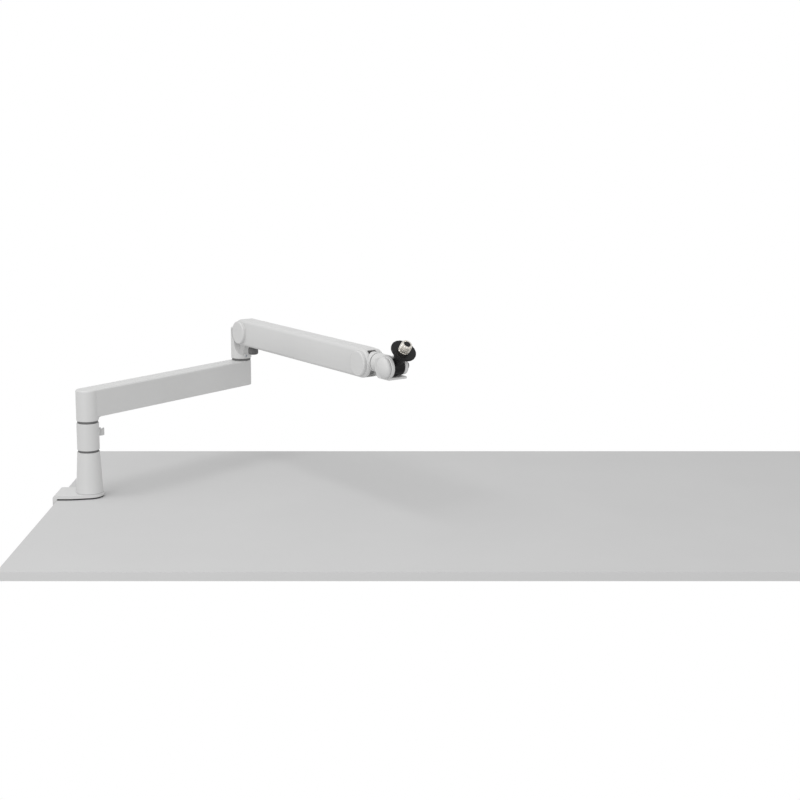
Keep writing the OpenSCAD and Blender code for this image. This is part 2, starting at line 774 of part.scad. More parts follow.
module upper_beam() {
    color(paint) at_tilt() difference() {
        union() {
            difference() {
                union() {
                    rotate([90, 0, 90]) linear_extrude(height = upper_len) polygon(upper_section());
                    for (x = [0, upper_len]) translate([x, 0, 0]) turned_y(upper_round());
                }
                translate([upper_channel_x0, -upper_half, -end_r - 1])
                    cube([upper_len - 2 * upper_channel_x0, 2 * upper_half, upper_h - wall - 1 + 1]);
            }
            bridges(upper_bridge_x, upper_half, upper_bridge_z);
        }
        hinge_bores();
        translate([upper_len, 0, 0]) hinge_bores();
        tongue_room(elbow_field);
        translate([upper_len, 0, 0]) tongue_room(head_field);
        // Pocket and screw hole of the brake wedge
        slab([[0, wedge_top + 2], [wedge_front + 0.2, wedge_top + 2],
              [wedge_front + 1.9, wedge_bottom - 1], [0, wedge_bottom - 1]], 2 * wedge_half + 0.4);
        translate([tension_x, 0, -end_r - 1]) cylinder(d = 6 + 4 * fit, h = end_r);
        magnet_places(upper_bridge_x, upper_magnet_y)
            translate([0, 0, upper_bridge_z - 1]) cylinder(d = magnet_d + 2 * fit, h = magnet_t + 1.1);
    }
}

// Wedge that the tension knob draws down against the tongue's rim
module brake_wedge() {
    color(brass) at_tilt() difference() {
        slab([[wedge_back, wedge_top], [wedge_front, wedge_top],
              [wedge_front + 1.5, wedge_bottom], [wedge_back, wedge_bottom]], 2 * wedge_half);
        translate([tension_x, 0, wedge_bottom - 1]) cylinder(d = 6 + 2 * fit, h = 30);
    }
}

module tension_knob() {
    r = tension_d / 2;
    top = -end_r - 0.4;
    height = 12.6;
    ribs = 12;
    color(dark) at_tilt() translate([tension_x, 0, 0]) difference() {
        rotate_extrude()
            polygon(concat([[0, top - height]], arc([r - 3, top - height + 3], 3, -90, 0, 5),
                           [[r, top - 4], [r - 1.5, top - 1.4], [5, top], [3, top],
                            [3, wedge_top - 1], [0, wedge_top - 1]]));
        for (i = [0:ribs - 1])
            rotate([0, 0, i * 360 / ribs]) translate([r + 0.8, 0, top - height - 1])
                cylinder(r = 1.5, h = height - 3.5);
    }
}

module upper_magnets() {
    color(steel) at_tilt() magnet_places(upper_bridge_x, upper_magnet_y)
        translate([0, 0, upper_bridge_z]) cylinder(d = magnet_d, h = magnet_t);
}

module upper_cover() {
    color(paint) at_tilt()
        cover(upper_cover_x0, upper_cover_x1, upper_half, upper_cover_z, upper_bridge_x, upper_magnet_y);
}

module upper_cover_magnets() {
    color(steel) at_tilt() magnet_places(upper_bridge_x, upper_magnet_y)
        translate([0, 0, upper_bridge_z - 0.2 - magnet_t]) cylinder(d = magnet_d, h = magnet_t);
}

// Parts of a friction hinge, about the Y axis; the bolt head is on the -Y side
seat_y = half_uw - bore_depth;
cap_room = half_uw + cap_t - 1.3;

module hinge_bolt() {
    head = cap_room - 0.4;
    color(steel) difference() {
        turned_y([[0, head], [6, head], [6.5, head - 0.5], [6.5, seat_y + washer_t],
                  [bolt_r, seat_y + washer_t], [bolt_r, -seat_y - 5.8], [0, -seat_y - 5.8]]);
        translate([0, -head - 0.01, 0]) rotate([-90, 0, 0]) cylinder(d = 6.9, h = 3, $fn = 6);
    }
}

module hinge_spring_washer() {
    color(steel)
        turned_y([[bolt_r + 0.1, seat_y], [8.5, seat_y + 0.3], [8.5, seat_y + washer_t],
                  [bolt_r + 0.1, seat_y + washer_t]]);
}

module hinge_nut() {
    color(steel) difference() {
        translate([0, seat_y, 0]) rotate([-90, 30, 0])
            cylinder(r = bolt_r * 1.87, h = 5.6, $fn = 6);
        rod_y(bolt_r + fit, 2 * upper_w);
    }
}

module hinge_friction_washers() {
    color(dark) for (s = [-1, 1])
        translate([0, s * (tongue_t / 2 + 0.1 + friction_t / 2), 0]) difference() {
            rod_y(tongue_r - 0.5, friction_t);
            rod_y(bolt_r + 0.15, friction_t + 1);
        }
}

// Round cap over a hinge bolt, with a rim that plugs into the counterbore
module hinge_cap() {
    r = cap_d / 2;
    face = half_uw + cap_t;
    shoulder = half_uw - dish_t;
    color(paint)
        turned_y([[0, face], [r - 1.2, face], [r, face - 1.2], [r, shoulder], [13, shoulder],
                  [13, seat_y + seat_gap], [10.8, seat_y + seat_gap], [10.8, half_uw + 0.6],
                  [9.6, cap_room], [0, cap_room]]);
}

module elbow_bolt() { at_tilt() hinge_bolt(); }
module elbow_spring_washer() { at_tilt() hinge_spring_washer(); }
module elbow_nut() { at_tilt() hinge_nut(); }
module elbow_friction_washers() { at_tilt() hinge_friction_washers(); }
module elbow_cap_front() { at_tilt() hinge_cap(); }
module elbow_cap_rear() { at_tilt() rotate([0, 0, 180]) hinge_cap(); }
module head_bolt() { at_head() hinge_bolt(); }
module head_spring_washer() { at_head() hinge_spring_washer(); }
module head_nut() { at_head() hinge_nut(); }
module head_friction_washers() { at_head() hinge_friction_washers(); }
module head_cap_front() { at_head() hinge_cap(); }
module head_cap_rear() { at_head() rotate([0, 0, 180]) hinge_cap(); }

// Wrist: tongue in the upper arm's end, round neck in front of it
module wrist() {
    color(paint) difference() {
        union() {
            difference() {
                at_neck() rotate([0, 90, 0])
                    rotate_extrude()
                        polygon([[0, 8], [neck_d / 2, 8], [neck_d / 2, neck_front - 0.8],
                                 [neck_d / 2 - 0.8, neck_front], [0, neck_front]]);
                at_head() rod_y(end_r + saddle_gap, neck_d + 10);
            }
            at_head() {
                rod_y(tongue_r, tongue_t);
                slab([[0, tongue_r], [neck_front - 2, wrist_up], [neck_front - 2, -wrist_down],
                      [0, -tongue_r]], tongue_t);
            }
        }
        at_head() rod_y(bolt_r + fit, tongue_t + 2);
        at_neck() translate([14, 0, 0]) rotate([0, 90, 0]) cylinder(d = 6 + 2 * fit, h = 20);
    }
}

module roll_washer() {
    color(dark) at_neck() translate([neck_front, 0, 0]) rotate([0, 90, 0]) difference() {
        cylinder(r = neck_d / 2 - 1.1, h = roll_t - 0.1);
        translate([0, 0, -1]) cylinder(d = 6.4, h = 4);
    }
}

module roll_bolt() {
    seat = fork_back + 6;
    color(steel) at_neck() rotate([0, 90, 0]) difference() {
        rotate_extrude()
            polygon([[0, 14.5], [3, 14.5], [3, seat + 0.1], [5, seat + 0.1], [5, seat + 5.6],
                     [4.5, seat + 6.1], [0, seat + 6.1]]);
        translate([0, 0, seat + 3.2]) cylinder(d = 5.8, h = 4, $fn = 6);
    }
}

// Fork: round root on the neck, two ears and a floor under the lug
module ear(r, y0) {
    translate([0, y0 + ear_t / 2, 0]) {
        translate([fork_reach, 0, 0]) rod_y(r, ear_t);
        slab([[40, 8], [fork_root - 4, 11.5], [fork_reach - 4, r - 0.5], [fork_reach, 0],
              [fork_reach - 4, -r + 0.5], [fork_root - 4, -13], [40, -8]], ear_t);
    }
}

module fork() {
    floor_top = -13.6;
    floor_z = -17.2;
    root_z = -9;
    color(paint) at_neck() difference() {
        union() {
            rotate([0, 90, 0])
                rotate_extrude()
                    polygon([[0, fork_back], [neck_d / 2 - 0.8, fork_back], [neck_d / 2, fork_back + 0.8],
                             [neck_d / 2, fork_root - 2.5], [neck_d / 2 - 2.5, fork_root], [0, fork_root]]);
            ear(near_r, -ear_out);
            ear(far_r, fork_gap / 2);
            slab(concat([[fork_root - 8, root_z], [fork_root - 4, floor_z + 1], [fork_root - 1, floor_z]],
                        arc([fork_reach + 6, floor_z + 1.8], 1.8, -90, 90, 6),
                        [[fork_root + 5, floor_top], [fork_root, root_z]]), 2 * ear_out);
        }
        translate([fork_reach, 0, 0]) rod_y(bolt_r + fit, 2 * ear_out + 4);
        rotate([0, 90, 0]) cylinder(d = 6 + 2 * fit, h = fork_root + 5);
        translate([fork_back + 6, 0, 0]) rotate([0, 90, 0]) cylinder(d = 11.4, h = 40);
        // Hexagon seat of the cap nut in the far ear
        translate([fork_reach, ear_out - 1.5, 0]) rotate([-90, 30, 0])
            cylinder(r = 7.1, h = 5, $fn = 6);
    }
}

module fork_nut() {
    color(dark) at_fork() difference() {
        union() {
            translate([0, ear_out - 1.4, 0]) rotate([-90, 30, 0]) cylinder(r = 6.9, h = 4.6, $fn = 6);
            rotate([180, 0, 0])
                turned_y(concat([[0, ear_out + 3]], [[5.9, ear_out + 3]],
                                oval([0, ear_out + 3.6], 5.9, 3.6, 0, 90)));
        }
        rod_y(bolt_r + fit, 2 * (ear_out + 3.4));
    }
}

module fork_bolt() {
    color(steel) at_fork()
        turned_y([[0, ear_out + 5], [bolt_r, ear_out + 5], [bolt_r, -ear_out - 3.2], [0, -ear_out - 3.2]]);
}

// Domed hand knob on the near ear
module domed_knob() {
    r = dome_d / 2;
    base = ear_out + 0.3;
    color(paint) at_fork() difference() {
        turned_y(concat([[0, base], [r - 0.8, base], [r, base + 0.8], [r, base + 3]],
                        oval([0, base + 3], r, dome_t - 3, 0, 90, 14)));
        translate([0, 1, 0]) rotate([90, 0, 0]) cylinder(r = bolt_r + fit, h = ear_out + 6.2);
    }
}

// Black lug that carries the stud, turning between the fork's ears
module mic_lug() {
    color(dark) at_stud() difference() {
        union() {
            rod_y(lug_r, 2 * lug_half);
            rotate_extrude()
                polygon([[0, 0], [8, 0], [8, 19], [10.5, 21.5], [10.5, stud_base], [core_d / 2, stud_base],
                         [core_d / 2, stud_top - 1], [core_d / 2 - 1, stud_top], [0, stud_top]]);
        }
        rod_y(bolt_r + fit, 40);
    }
}

// Sleeve with the outer thread, screwed over the stud
module thread_adapter() {
    color(steel) at_stud() difference() {
        rotate_extrude()
            polygon([[core_d / 2 + fit, stud_base], [stud_d / 2, stud_base], [stud_d / 2, groove_z],
                     [stud_d / 2 - 1.1, groove_z], [stud_d / 2 - 1.1, groove_z + groove_h],
                     [stud_d / 2, groove_z + groove_h], [stud_d / 2, stud_top - 1],
                     [stud_d / 2 - 1, stud_top - 0.2], [core_d / 2 + fit, stud_top - 0.2]]);
        // Coin slot across the end
        translate([0, 0, stud_top]) cube([stud_d + 2, 1.6, 3], center = true);
    }
}

// Flared lock ring, scalloped for the fingers
module lock_ring() {
    r = lock_d / 2;
    notches = 18;
    color(dark) at_stud() translate([0, 0, lock_z]) difference() {
        rotate_extrude()
            polygon(concat([[stud_d / 2 + fit, 0], [r - 6, 0], [r - 1.2, lock_h - 4], [r, lock_h - 3]],
                           [[r, lock_h - 0.8], [r - 0.8, lock_h], [stud_d / 2 + fit, lock_h]]));
        for (i = [0:notches - 1])
            rotate([0, 0, i * 360 / notches]) translate([r + 1.4, 0, -1])
                cylinder(r = 2, h = lock_h + 2);
    }
}

clamp_frame();
top_pad();
screw_bush();
pressure_disc();
disc_pad();
clamp_screw();
hand_knob();
base_column();
column_screws();
column_bush();
riser_spigot();
riser_tube();
riser_bush();
cable_clip();
clip_screw();
at_lower() lower_beam();
arm_spindle();
elbow_bush();
lower_magnets();
lower_cover();
lower_cover_magnets();
elbow_swivel();
elbow_spindle();
retaining_washer();
retaining_screw();
elbow_set_screw();
upper_beam();
elbow_bolt();
elbow_spring_washer();
elbow_nut();
elbow_friction_washers();
elbow_cap_front();
elbow_cap_rear();
brake_wedge();
tension_knob();
upper_magnets();
upper_cover();
upper_cover_magnets();
head_bolt();
head_spring_washer();
head_nut();
head_friction_washers();
head_cap_front();
head_cap_rear();
wrist();
roll_washer();
roll_bolt();
fork();
fork_nut();
fork_bolt();
domed_knob();
mic_lug();
thread_adapter();
lock_ring();
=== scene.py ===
# %% [markdown]
# A low-profile microphone boom arm in white powder coat, clamped to the edge of a desk.
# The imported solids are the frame. The small inner ones stay as they are and get their
# finish; every outer piece is modelled here again in the same place, with the soft edges,
# crowned sides, threads and grips that a close look shows. All sizes are in millimetres
# and are the ones of the solids. A camera, a floor and soft light finish the picture.

# %% Load the frame
import math
import bmesh
import bpy
from mathutils import Matrix, Vector


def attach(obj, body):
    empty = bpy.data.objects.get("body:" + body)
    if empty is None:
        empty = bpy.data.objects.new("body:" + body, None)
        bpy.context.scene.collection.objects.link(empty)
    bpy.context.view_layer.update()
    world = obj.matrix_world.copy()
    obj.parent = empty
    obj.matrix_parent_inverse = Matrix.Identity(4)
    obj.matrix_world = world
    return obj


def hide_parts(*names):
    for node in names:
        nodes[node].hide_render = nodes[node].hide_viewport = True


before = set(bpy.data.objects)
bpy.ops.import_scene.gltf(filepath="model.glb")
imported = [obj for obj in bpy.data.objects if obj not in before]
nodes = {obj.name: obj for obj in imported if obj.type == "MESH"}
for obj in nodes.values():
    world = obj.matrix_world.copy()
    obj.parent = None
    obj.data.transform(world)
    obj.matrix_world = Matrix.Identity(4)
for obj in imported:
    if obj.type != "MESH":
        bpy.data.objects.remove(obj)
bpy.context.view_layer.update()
MM = 0.001

# %% [markdown]
# The camera comes first, because every later choice is judged through it. It stands two
# metres off, a little above the arm, and looks down by nine degrees. The small shift puts
# the arm in the part of the picture where the photograph has it.

# %% Camera
CAMERA_PLACE = (0.4495, -2.1133, 0.5665)
CAMERA_PITCH = 81.08   # degrees from looking straight down
LENS, SENSOR, RISE = 67.5, 36, -0.08
bpy.ops.object.select_all(action="DESELECT")
bpy.ops.object.camera_add(location=CAMERA_PLACE, rotation=(math.radians(CAMERA_PITCH), 0, 0))
camera = bpy.context.object
camera.data.lens = LENS
camera.data.sensor_width = SENSOR
camera.data.shift_y = RISE
camera.data.clip_start = 0.05
camera.data.clip_end = 50
bpy.context.scene.camera = camera
print("camera at", CAMERA_PLACE, "lens", LENS)

# %% [markdown]
# The floor is a thin pale board at the height of the desk's top, as deep as a desk. Its left
# edge is where the desk's edge is, so that the clamp's leg goes down behind it. It is thinner
# than the thinnest desk that the clamp holds, and nothing cuts through it at any pose.

# %% Floor
FLOOR_GREY = 0.62
FLOOR_TOP = -0.0002
FLOOR_THICK = 0.0112
DESK_EDGE, DESK_FRONT, DESK_BACK = -0.0422, -0.356, 0.282
DESK_LENGTH = 2.6
bpy.ops.mesh.primitive_cube_add(size=1)
floor = bpy.context.object
floor.name = "floor"
floor.scale = (DESK_LENGTH, DESK_BACK - DESK_FRONT, FLOOR_THICK)
floor.location = (DESK_EDGE + DESK_LENGTH / 2, (DESK_FRONT + DESK_BACK) / 2,
                  FLOOR_TOP - FLOOR_THICK / 2)
bpy.ops.object.transform_apply(location=True, rotation=False, scale=True)
print("floor", [round(v, 4) for v in floor.dimensions], "m")

# %% [markdown]
# Light comes from a bright sky all round, a large soft lamp above and to the left, and two
# weaker ones in front, low on the left and on the right. To the camera and in reflections
# the sky is white, but it lights the object at a lower level, so that the white paint keeps
# its tone.

# %% World
SKY_LEVEL = 0.58
world = bpy.data.worlds.new("studio")
bpy.context.scene.world = world
world.use_nodes = True
tree = world.node_tree
tree.nodes.clear()
sky = tree.nodes.new("ShaderNodeBackground")
sky.inputs["Strength"].default_value = SKY_LEVEL
backdrop = tree.nodes.new("ShaderNodeBackground")
backdrop.inputs["Strength"].default_value = 1.0
for light in (sky, backdrop):
    light.inputs["Color"].default_value = (1, 1, 1, 1)
path = tree.nodes.new("ShaderNodeLightPath")
seen = tree.nodes.new("ShaderNodeMath")
seen.operation = "MAXIMUM"
also = tree.nodes.new("ShaderNodeMath")
also.operation = "MAXIMUM"
mix = tree.nodes.new("ShaderNodeMixShader")
out = tree.nodes.new("ShaderNodeOutputWorld")
tree.links.new(path.outputs["Is Camera Ray"], seen.inputs[0])
tree.links.new(path.outputs["Is Glossy Ray"], seen.inputs[1])
tree.links.new(seen.outputs[0], also.inputs[0])
tree.links.new(path.outputs["Is Transmission Ray"], also.inputs[1])
tree.links.new(also.outputs[0], mix.inputs["Fac"])
tree.links.new(sky.outputs["Background"], mix.inputs[1])
tree.links.new(backdrop.outputs["Background"], mix.inputs[2])
tree.links.new(mix.outputs["Shader"], out.inputs["Surface"])
print("sky lights at", SKY_LEVEL)


# %% Lamps
def soft_lamp(name, place, target, size, power):
    """A square lamp at place, turned to target."""
    bpy.ops.object.light_add(type="AREA", location=place)
    lamp = bpy.context.object
    lamp.name = name
    lamp.data.shape = "SQUARE"
    lamp.data.size = size
    lamp.data.energy = power
    lamp.rotation_euler = (Vector(target) - Vector(place)).to_track_quat("-Z", "Y").to_euler()
    print(f"{name}: {power} W at {place}")


soft_lamp("top lamp", (-0.6, -0.5, 2.4), (0.2, 0.1, 0.1), 1.6, 22)
soft_lamp("left lamp", (-0.6, -1.9, 0.4), (0.0, 0.0, 0.1), 1.0, 7.6)
soft_lamp("right lamp", (1.2, -2.0, 0.7), (0.1, 0.1, 0.15), 1.2, 6.5)

# %% [markdown]
# Every finish is made of nodes on object coordinates, in metres, so a grain of half a
# millimetre has a scale near two thousand. A few helpers make the usual parts: a Principled
# shader, a noise, a ramp of colours, a spread of roughness, and a bump.

# %% Helpers for materials
def new_finish(name, colour, roughness, metallic=0.0, edge=0.0):
    """A material with one Principled shader. Returns the material, its tree, its shader and
    the coordinates that its patterns read. With edge, light catches on rounded edges."""
    mat = bpy.data.materials.new(name)
    mat.use_nodes = True
    tree = mat.node_tree
    shader = tree.nodes["Principled BSDF"]
    shader.inputs["Base Color"].default_value = (*colour, 1)
    shader.inputs["Roughness"].default_value = roughness
    shader.inputs["Metallic"].default_value = metallic
    where = tree.nodes.new("ShaderNodeTexCoord")
    if edge:
        bevel = tree.nodes.new("ShaderNodeBevel")
        bevel.samples = 4
        bevel.inputs["Radius"].default_value = edge * MM
        tree.links.new(bevel.outputs["Normal"], shader.inputs["Normal"])
    return mat, tree, shader, where.outputs["Object"]


def noise(tree, where, scale, detail=2.0):
    """A noise pattern."""
    pattern = tree.nodes.new("ShaderNodeTexNoise")
    pattern.inputs["Scale"].default_value = scale
    pattern.inputs["Detail"].default_value = detail
    tree.links.new(where, pattern.inputs["Vector"])
    return pattern.outputs["Fac"]


def ramp(tree, value, low, high, start=0.3, end=0.7):
    """Colours from low to high as value goes from start to end."""
    node = tree.nodes.new("ShaderNodeValToRGB")
    node.color_ramp.elements[0].position = start
    node.color_ramp.elements[1].position = end
    node.color_ramp.elements[0].color = (*low, 1)
    node.color_ramp.elements[1].color = (*high, 1)
    tree.links.new(value, node.inputs["Fac"])
    return node.outputs["Color"]


def spread(tree, value, low, high):
    """A number from low to high as value goes from 0.3 to 0.7."""
    node = tree.nodes.new("ShaderNodeMapRange")
    node.inputs["From Min"].default_value = 0.3
    node.inputs["From Max"].default_value = 0.7
    node.inputs["To Min"].default_value = low
    node.inputs["To Max"].default_value = high
    tree.links.new(value, node.inputs["Value"])
    return node.outputs["Result"]


def bump(tree, shader, height, depth, strength=1.0):
    """Adds a bump, depth millimetres high, on top of the shader's normal."""
    node = tree.nodes.new("ShaderNodeBump")
    node.inputs["Strength"].default_value = strength
    node.inputs["Distance"].default_value = depth * MM
    socket = shader.inputs["Normal"]
    if socket.is_linked:
        tree.links.new(socket.links[0].from_socket, node.inputs["Normal"])
    tree.links.new(height, node.inputs["Height"])
    tree.links.new(node.outputs["Normal"], socket)


# %% [markdown]
# Powder coat is sprayed as a dry powder and melted on, so its skin has a fine orange peel,
# about half a millimetre from dimple to dimple, and its gloss is broken up softly. Two noises
# make the peel, and a wide one lets the tone drift by a hair, as sprayed paint does.

# %% White powder coat
def powder_coat(name, level, gloss):
    """Satin white powder coat."""
    mat, tree, shader, where = new_finish(name, (level, level, level), gloss)
    drift = noise(tree, where, 14, 3)
    low = (level * 0.985, level * 0.985, level * 0.98)
    high = (level * 1.01, level * 1.01, level * 1.005)
    tree.links.new(ramp(tree, drift, low, high), shader.inputs["Base Color"])
    peel = noise(tree, where, 1500, 2)
    tree.links.new(spread(tree, peel, gloss - 0.04, gloss + 0.07), shader.inputs["Roughness"])
    bump(tree, shader, peel, 0.02, 0.5)
    bump(tree, shader, noise(tree, where, 420, 1), 0.03, 0.4)
    return mat


WHITE = powder_coat("white powder coat", 0.66, 0.42)
WHITE_BASE = powder_coat("white powder coat on steel", 0.655, 0.44)


# %% [markdown]
# The black pieces are of two kinds. The lug and the lock ring are metal with a deep satin
# black. The knobs and bearing rings are moulded plastic with a fine spark grain, and the
# pads are soft rubber, dusty and without gloss.

# %% Black finishes
def black_metal():
    """Satin black coat on metal, with less sheen than plastic has."""
    mat, tree, shader, where = new_finish("black coat", (0.006, 0.006, 0.0065), 0.34)
    shader.inputs["Specular IOR Level"].default_value = 0.2
    grain = noise(tree, where, 2200, 2)
    tree.links.new(spread(tree, grain, 0.28, 0.42), shader.inputs["Roughness"])
    bump(tree, shader, grain, 0.01, 0.5)
    return mat


def moulded(name, level):
    """Dark moulded plastic with a fine grain."""
    mat, tree, shader, where = new_finish(name, (level, level, level), 0.55)
    drift = noise(tree, where, 60, 2)
    dark, light = (level * 0.9,) * 3, (level * 1.1,) * 3
    tree.links.new(ramp(tree, drift, dark, light), shader.inputs["Base Color"])
    grain = noise(tree, where, 2600, 3)
    tree.links.new(spread(tree, grain, 0.46, 0.64), shader.inputs["Roughness"])
    bump(tree, shader, grain, 0.03, 0.7)
    return mat


def soft_rubber():
    """Soft black rubber."""
    mat, tree, shader, where = new_finish("black rubber", (0.02, 0.02, 0.02), 0.85)
    dust = noise(tree, where, 180, 4)
    clean, dusty = (0.014, 0.014, 0.014), (0.034, 0.033, 0.032)
    tree.links.new(ramp(tree, dust, clean, dusty), shader.inputs["Base Color"])
    bump(tree, shader, noise(tree, where, 1400, 3), 0.05, 0.8)
    return mat


BLACK = black_metal()
RING_GREY = moulded("grey bearing plastic", 0.13)
KNOB_GREY = moulded("dark knob plastic", 0.045)
RUBBER = soft_rubber()


# %% [markdown]
# Bare metal shows how it was made. Zinc-plated screws have a bluish, slightly cloudy plate.
# The threaded sleeve is nickel plated, warmer and brighter. The brake wedge is plain brass.

# %% Bare metals
def bare_metal(name, dull, bright, smooth, rough):
    """Metal whose tone and polish change slowly over the surface."""
    mat, tree, shader, where = new_finish(name, bright, smooth, 1.0, 0.2)
    cloud = noise(tree, where, 130, 3)
    tree.links.new(ramp(tree, cloud, dull, bright), shader.inputs["Base Color"])
    tree.links.new(spread(tree, cloud, smooth, rough), shader.inputs["Roughness"])
    bump(tree, shader, noise(tree, where, 1800, 2), 0.01, 0.5)
    return mat


STEEL = bare_metal("zinc plated steel", (0.50, 0.52, 0.56), (0.62, 0.63, 0.65), 0.24, 0.38)
NICKEL = bare_metal("nickel plate", (0.56, 0.54, 0.50), (0.70, 0.67, 0.62), 0.20, 0.32)
BRASS = bare_metal("brass", (0.62, 0.43, 0.18), (0.76, 0.56, 0.27), 0.26, 0.40)
print("metals:", STEEL.name, NICKEL.name, BRASS.name)


# %% Pale board
def pale_board():
    """A matt board with the faintest change of tone."""
    mat, tree, shader, where = new_finish("pale board", (FLOOR_GREY,) * 3, 0.75)
    tone = noise(tree, where, 6, 3)
    low, high = (FLOOR_GREY * 0.985,) * 3, (FLOOR_GREY * 1.01,) * 3
    tree.links.new(ramp(tree, tone, low, high), shader.inputs["Base Color"])
    return mat


floor.data.materials.append(pale_board())
print("board grey", FLOOR_GREY)

# %% [markdown]
# The solids that stay are the inner ones: screws, bolts, spindles, magnets and washers. Most
# of them are zinc-plated steel.

# %% Finishes of the solids
FINISH = {
    "elbow_friction_washers": KNOB_GREY, "head_friction_washers": KNOB_GREY,
    "brake_wedge": BRASS,
}
for name, solid in nodes.items():
    solid.data.materials.clear()
    solid.data.materials.append(FINISH.get(name, STEEL))
print(len(nodes), "solids finished")

# %% [markdown]
# The arm is drawn in its pose on the desk, so each piece is modelled lying straight, in the
# place it has on its own part of the arm, and then moved there in one step. These are the
# places: along the lower arm, at the elbow's post, at its tilt axis, at the head, at the
# neck, at the fork's bolt, and along the stud.

# %% Places of the arm's parts
LOWER_LEN, UPPER_LEN = 318, 342
TILT_REACH, TILT_Z = 21, 204.9
NECK_RISE, FORK_REACH = 3.7, 67


def shift(x, y, z):
    """A move, in millimetres."""
    return Matrix.Translation(Vector((x, y, z)) * MM)


def turn(axis, degrees):
    """A turn about an axis through the origin."""
    return Matrix.Rotation(math.radians(degrees), 4, axis)


AT_LOWER = turn("Z", 52)
AT_ELBOW = AT_LOWER @ shift(LOWER_LEN, 0, 0) @ turn("Z", -107)
AT_TILT = AT_ELBOW @ shift(TILT_REACH, 0, TILT_Z)
AT_HEAD = AT_TILT @ shift(UPPER_LEN, 0, 0)
AT_NECK = AT_HEAD @ shift(0, 0, NECK_RISE)
AT_FORK = AT_NECK @ shift(FORK_REACH, 0, 0)
AT_STUD = AT_FORK @ turn("Y", 40)
AS_DRAWN = Matrix()
ABOUT_X = turn("Y", 90)   # lays a piece made about Z along +X
FRONT = turn("X", 90)     # lays it towards -Y
REAR = turn("X", -90)     # lays it towards +Y
print("tilt axis", AT_TILT.translation, "head", AT_HEAD.translation)

# %% [markdown]
# A few sizes come back on many pieces. Whatever fits into a hole has a gap of a twentieth
# of a millimetre all round. One size of bolt holds the hinges and the fork, one size of
# spindle carries the lower arm and the elbow, a thicker pivot carries the riser, and three
# screws on a circle hold the column. Each bearing's sleeve has its own radius.

# %% Shared sizes
FIT = 0.05
BOLT_R, ROLL_BOLT_R, SPINDLE_R, PIVOT_R, CLAMP_SCREW_R, MAGNET_R = 4, 3, 8, 10, 5, 3
COLUMN_SLEEVE_R, RISER_SLEEVE_R, ELBOW_SLEEVE_R = 12.5, 12, 11
LOWER_WELL_Y, UPPER_WELL_Y = 7.5, 7.1   # how far off the middle the magnets sit
END_R = 20.6          # round end of the upper arm
END_HOLLOW_R = 22.2   # hollow that clears it
PLATE_TOP = 6.5
SCREW_CIRCLE, SCREW_ANGLES = 11, (60, 180, 300)
SCREW_PLACES = [turn("Z", angle) @ shift(SCREW_CIRCLE, 0, 0) for angle in SCREW_ANGLES]
print("bolt holes", 2 * (BOLT_R + FIT), "mm, spindle bores", 2 * (SPINDLE_R + FIT), "mm")


# %% [markdown]
# Nearly all of the arm's metal is turned, extruded or cast, so four starts are enough: a
# cylinder, a block, an outline spun round like clay on a wheel, and an outline given a
# thickness. The outlines are drawn by extruding one corner from point to point.

# %% Picking and placing
def clear():
    """Leaves edit mode with nothing selected."""
    if bpy.context.object and bpy.context.object.mode != "OBJECT":
        bpy.ops.object.mode_set(mode="OBJECT")
    bpy.ops.object.select_all(action="DESELECT")


def pick(piece):
    """Only this piece is selected."""
    clear()
    bpy.context.view_layer.objects.active = piece
    piece.select_set(True)
    return piece


def lay(piece, place):
    """Moves a piece and keeps the move in its mesh, so its object stays at the origin."""
    pick(piece)
    piece.matrix_basis = place @ piece.matrix_basis
    bpy.ops.object.transform_apply(location=True, rotation=True, scale=True)
    return piece


# %% Starting shapes
WELD = 0.002 * MM   # corners closer than this are one corner


def rod(radius, z0, z1, place=AS_DRAWN, sides=96):
    """A cylinder about Z, then laid in its place."""
    clear()
    bpy.ops.mesh.primitive_cylinder_add(
        vertices=sides, radius=radius * MM, depth=(z1 - z0) * MM,
        location=(0, 0, (z0 + z1) / 2 * MM),
    )
    return lay(bpy.context.object, place)


def block(x, y, z, place=AS_DRAWN):
    """A block between two values on each axis."""
    clear()
    bpy.ops.mesh.primitive_cube_add(size=MM, location=[sum(v) / 2 * MM for v in (x, y, z)])
    piece = bpy.context.object
    piece.scale = [v[1] - v[0] for v in (x, y, z)]
    return lay(piece, place)


def draw(points):
    """An outline through points, extruded from one corner to the next. Stays in edit mode."""
    clear()
    bpy.ops.mesh.primitive_plane_add(size=MM)
    piece = bpy.context.object
    bpy.ops.object.mode_set(mode="EDIT")
    bpy.ops.mesh.select_mode(type="VERT")
    bpy.ops.mesh.select_all(action="SELECT")
    bpy.ops.mesh.merge(type="CENTER")
    bpy.ops.transform.translate(value=Vector(points[0]) * MM)
    for a, b in zip(points, points[1:]):
        step = (Vector(b) - Vector(a)) * MM
        bpy.ops.mesh.extrude_region_move(TRANSFORM_OT_translate={"value": step})
    bpy.ops.mesh.select_all(action="SELECT")
    return piece


def tidy_mesh():
    """Merges doubled corners and turns every face outward."""
    bpy.ops.mesh.select_all(action="SELECT")
    bpy.ops.mesh.remove_doubles(threshold=WELD)
    bpy.ops.mesh.normals_make_consistent(inside=False)


def turned(profile, place=AS_DRAWN, ring=False, steps=96):
    """A lathe piece about Z from a half outline of (radius, z). A ring's outline closes on
    itself; any other starts and ends on the axis."""
    points = [(r, 0, z) for r, z in profile]
    piece = draw(points + points[:1] if ring else points)
    bpy.ops.mesh.spin(steps=steps, angle=math.tau, center=(0, 0, 0), axis=(0, 0, 1))
    tidy_mesh()
    return lay(piece, place)


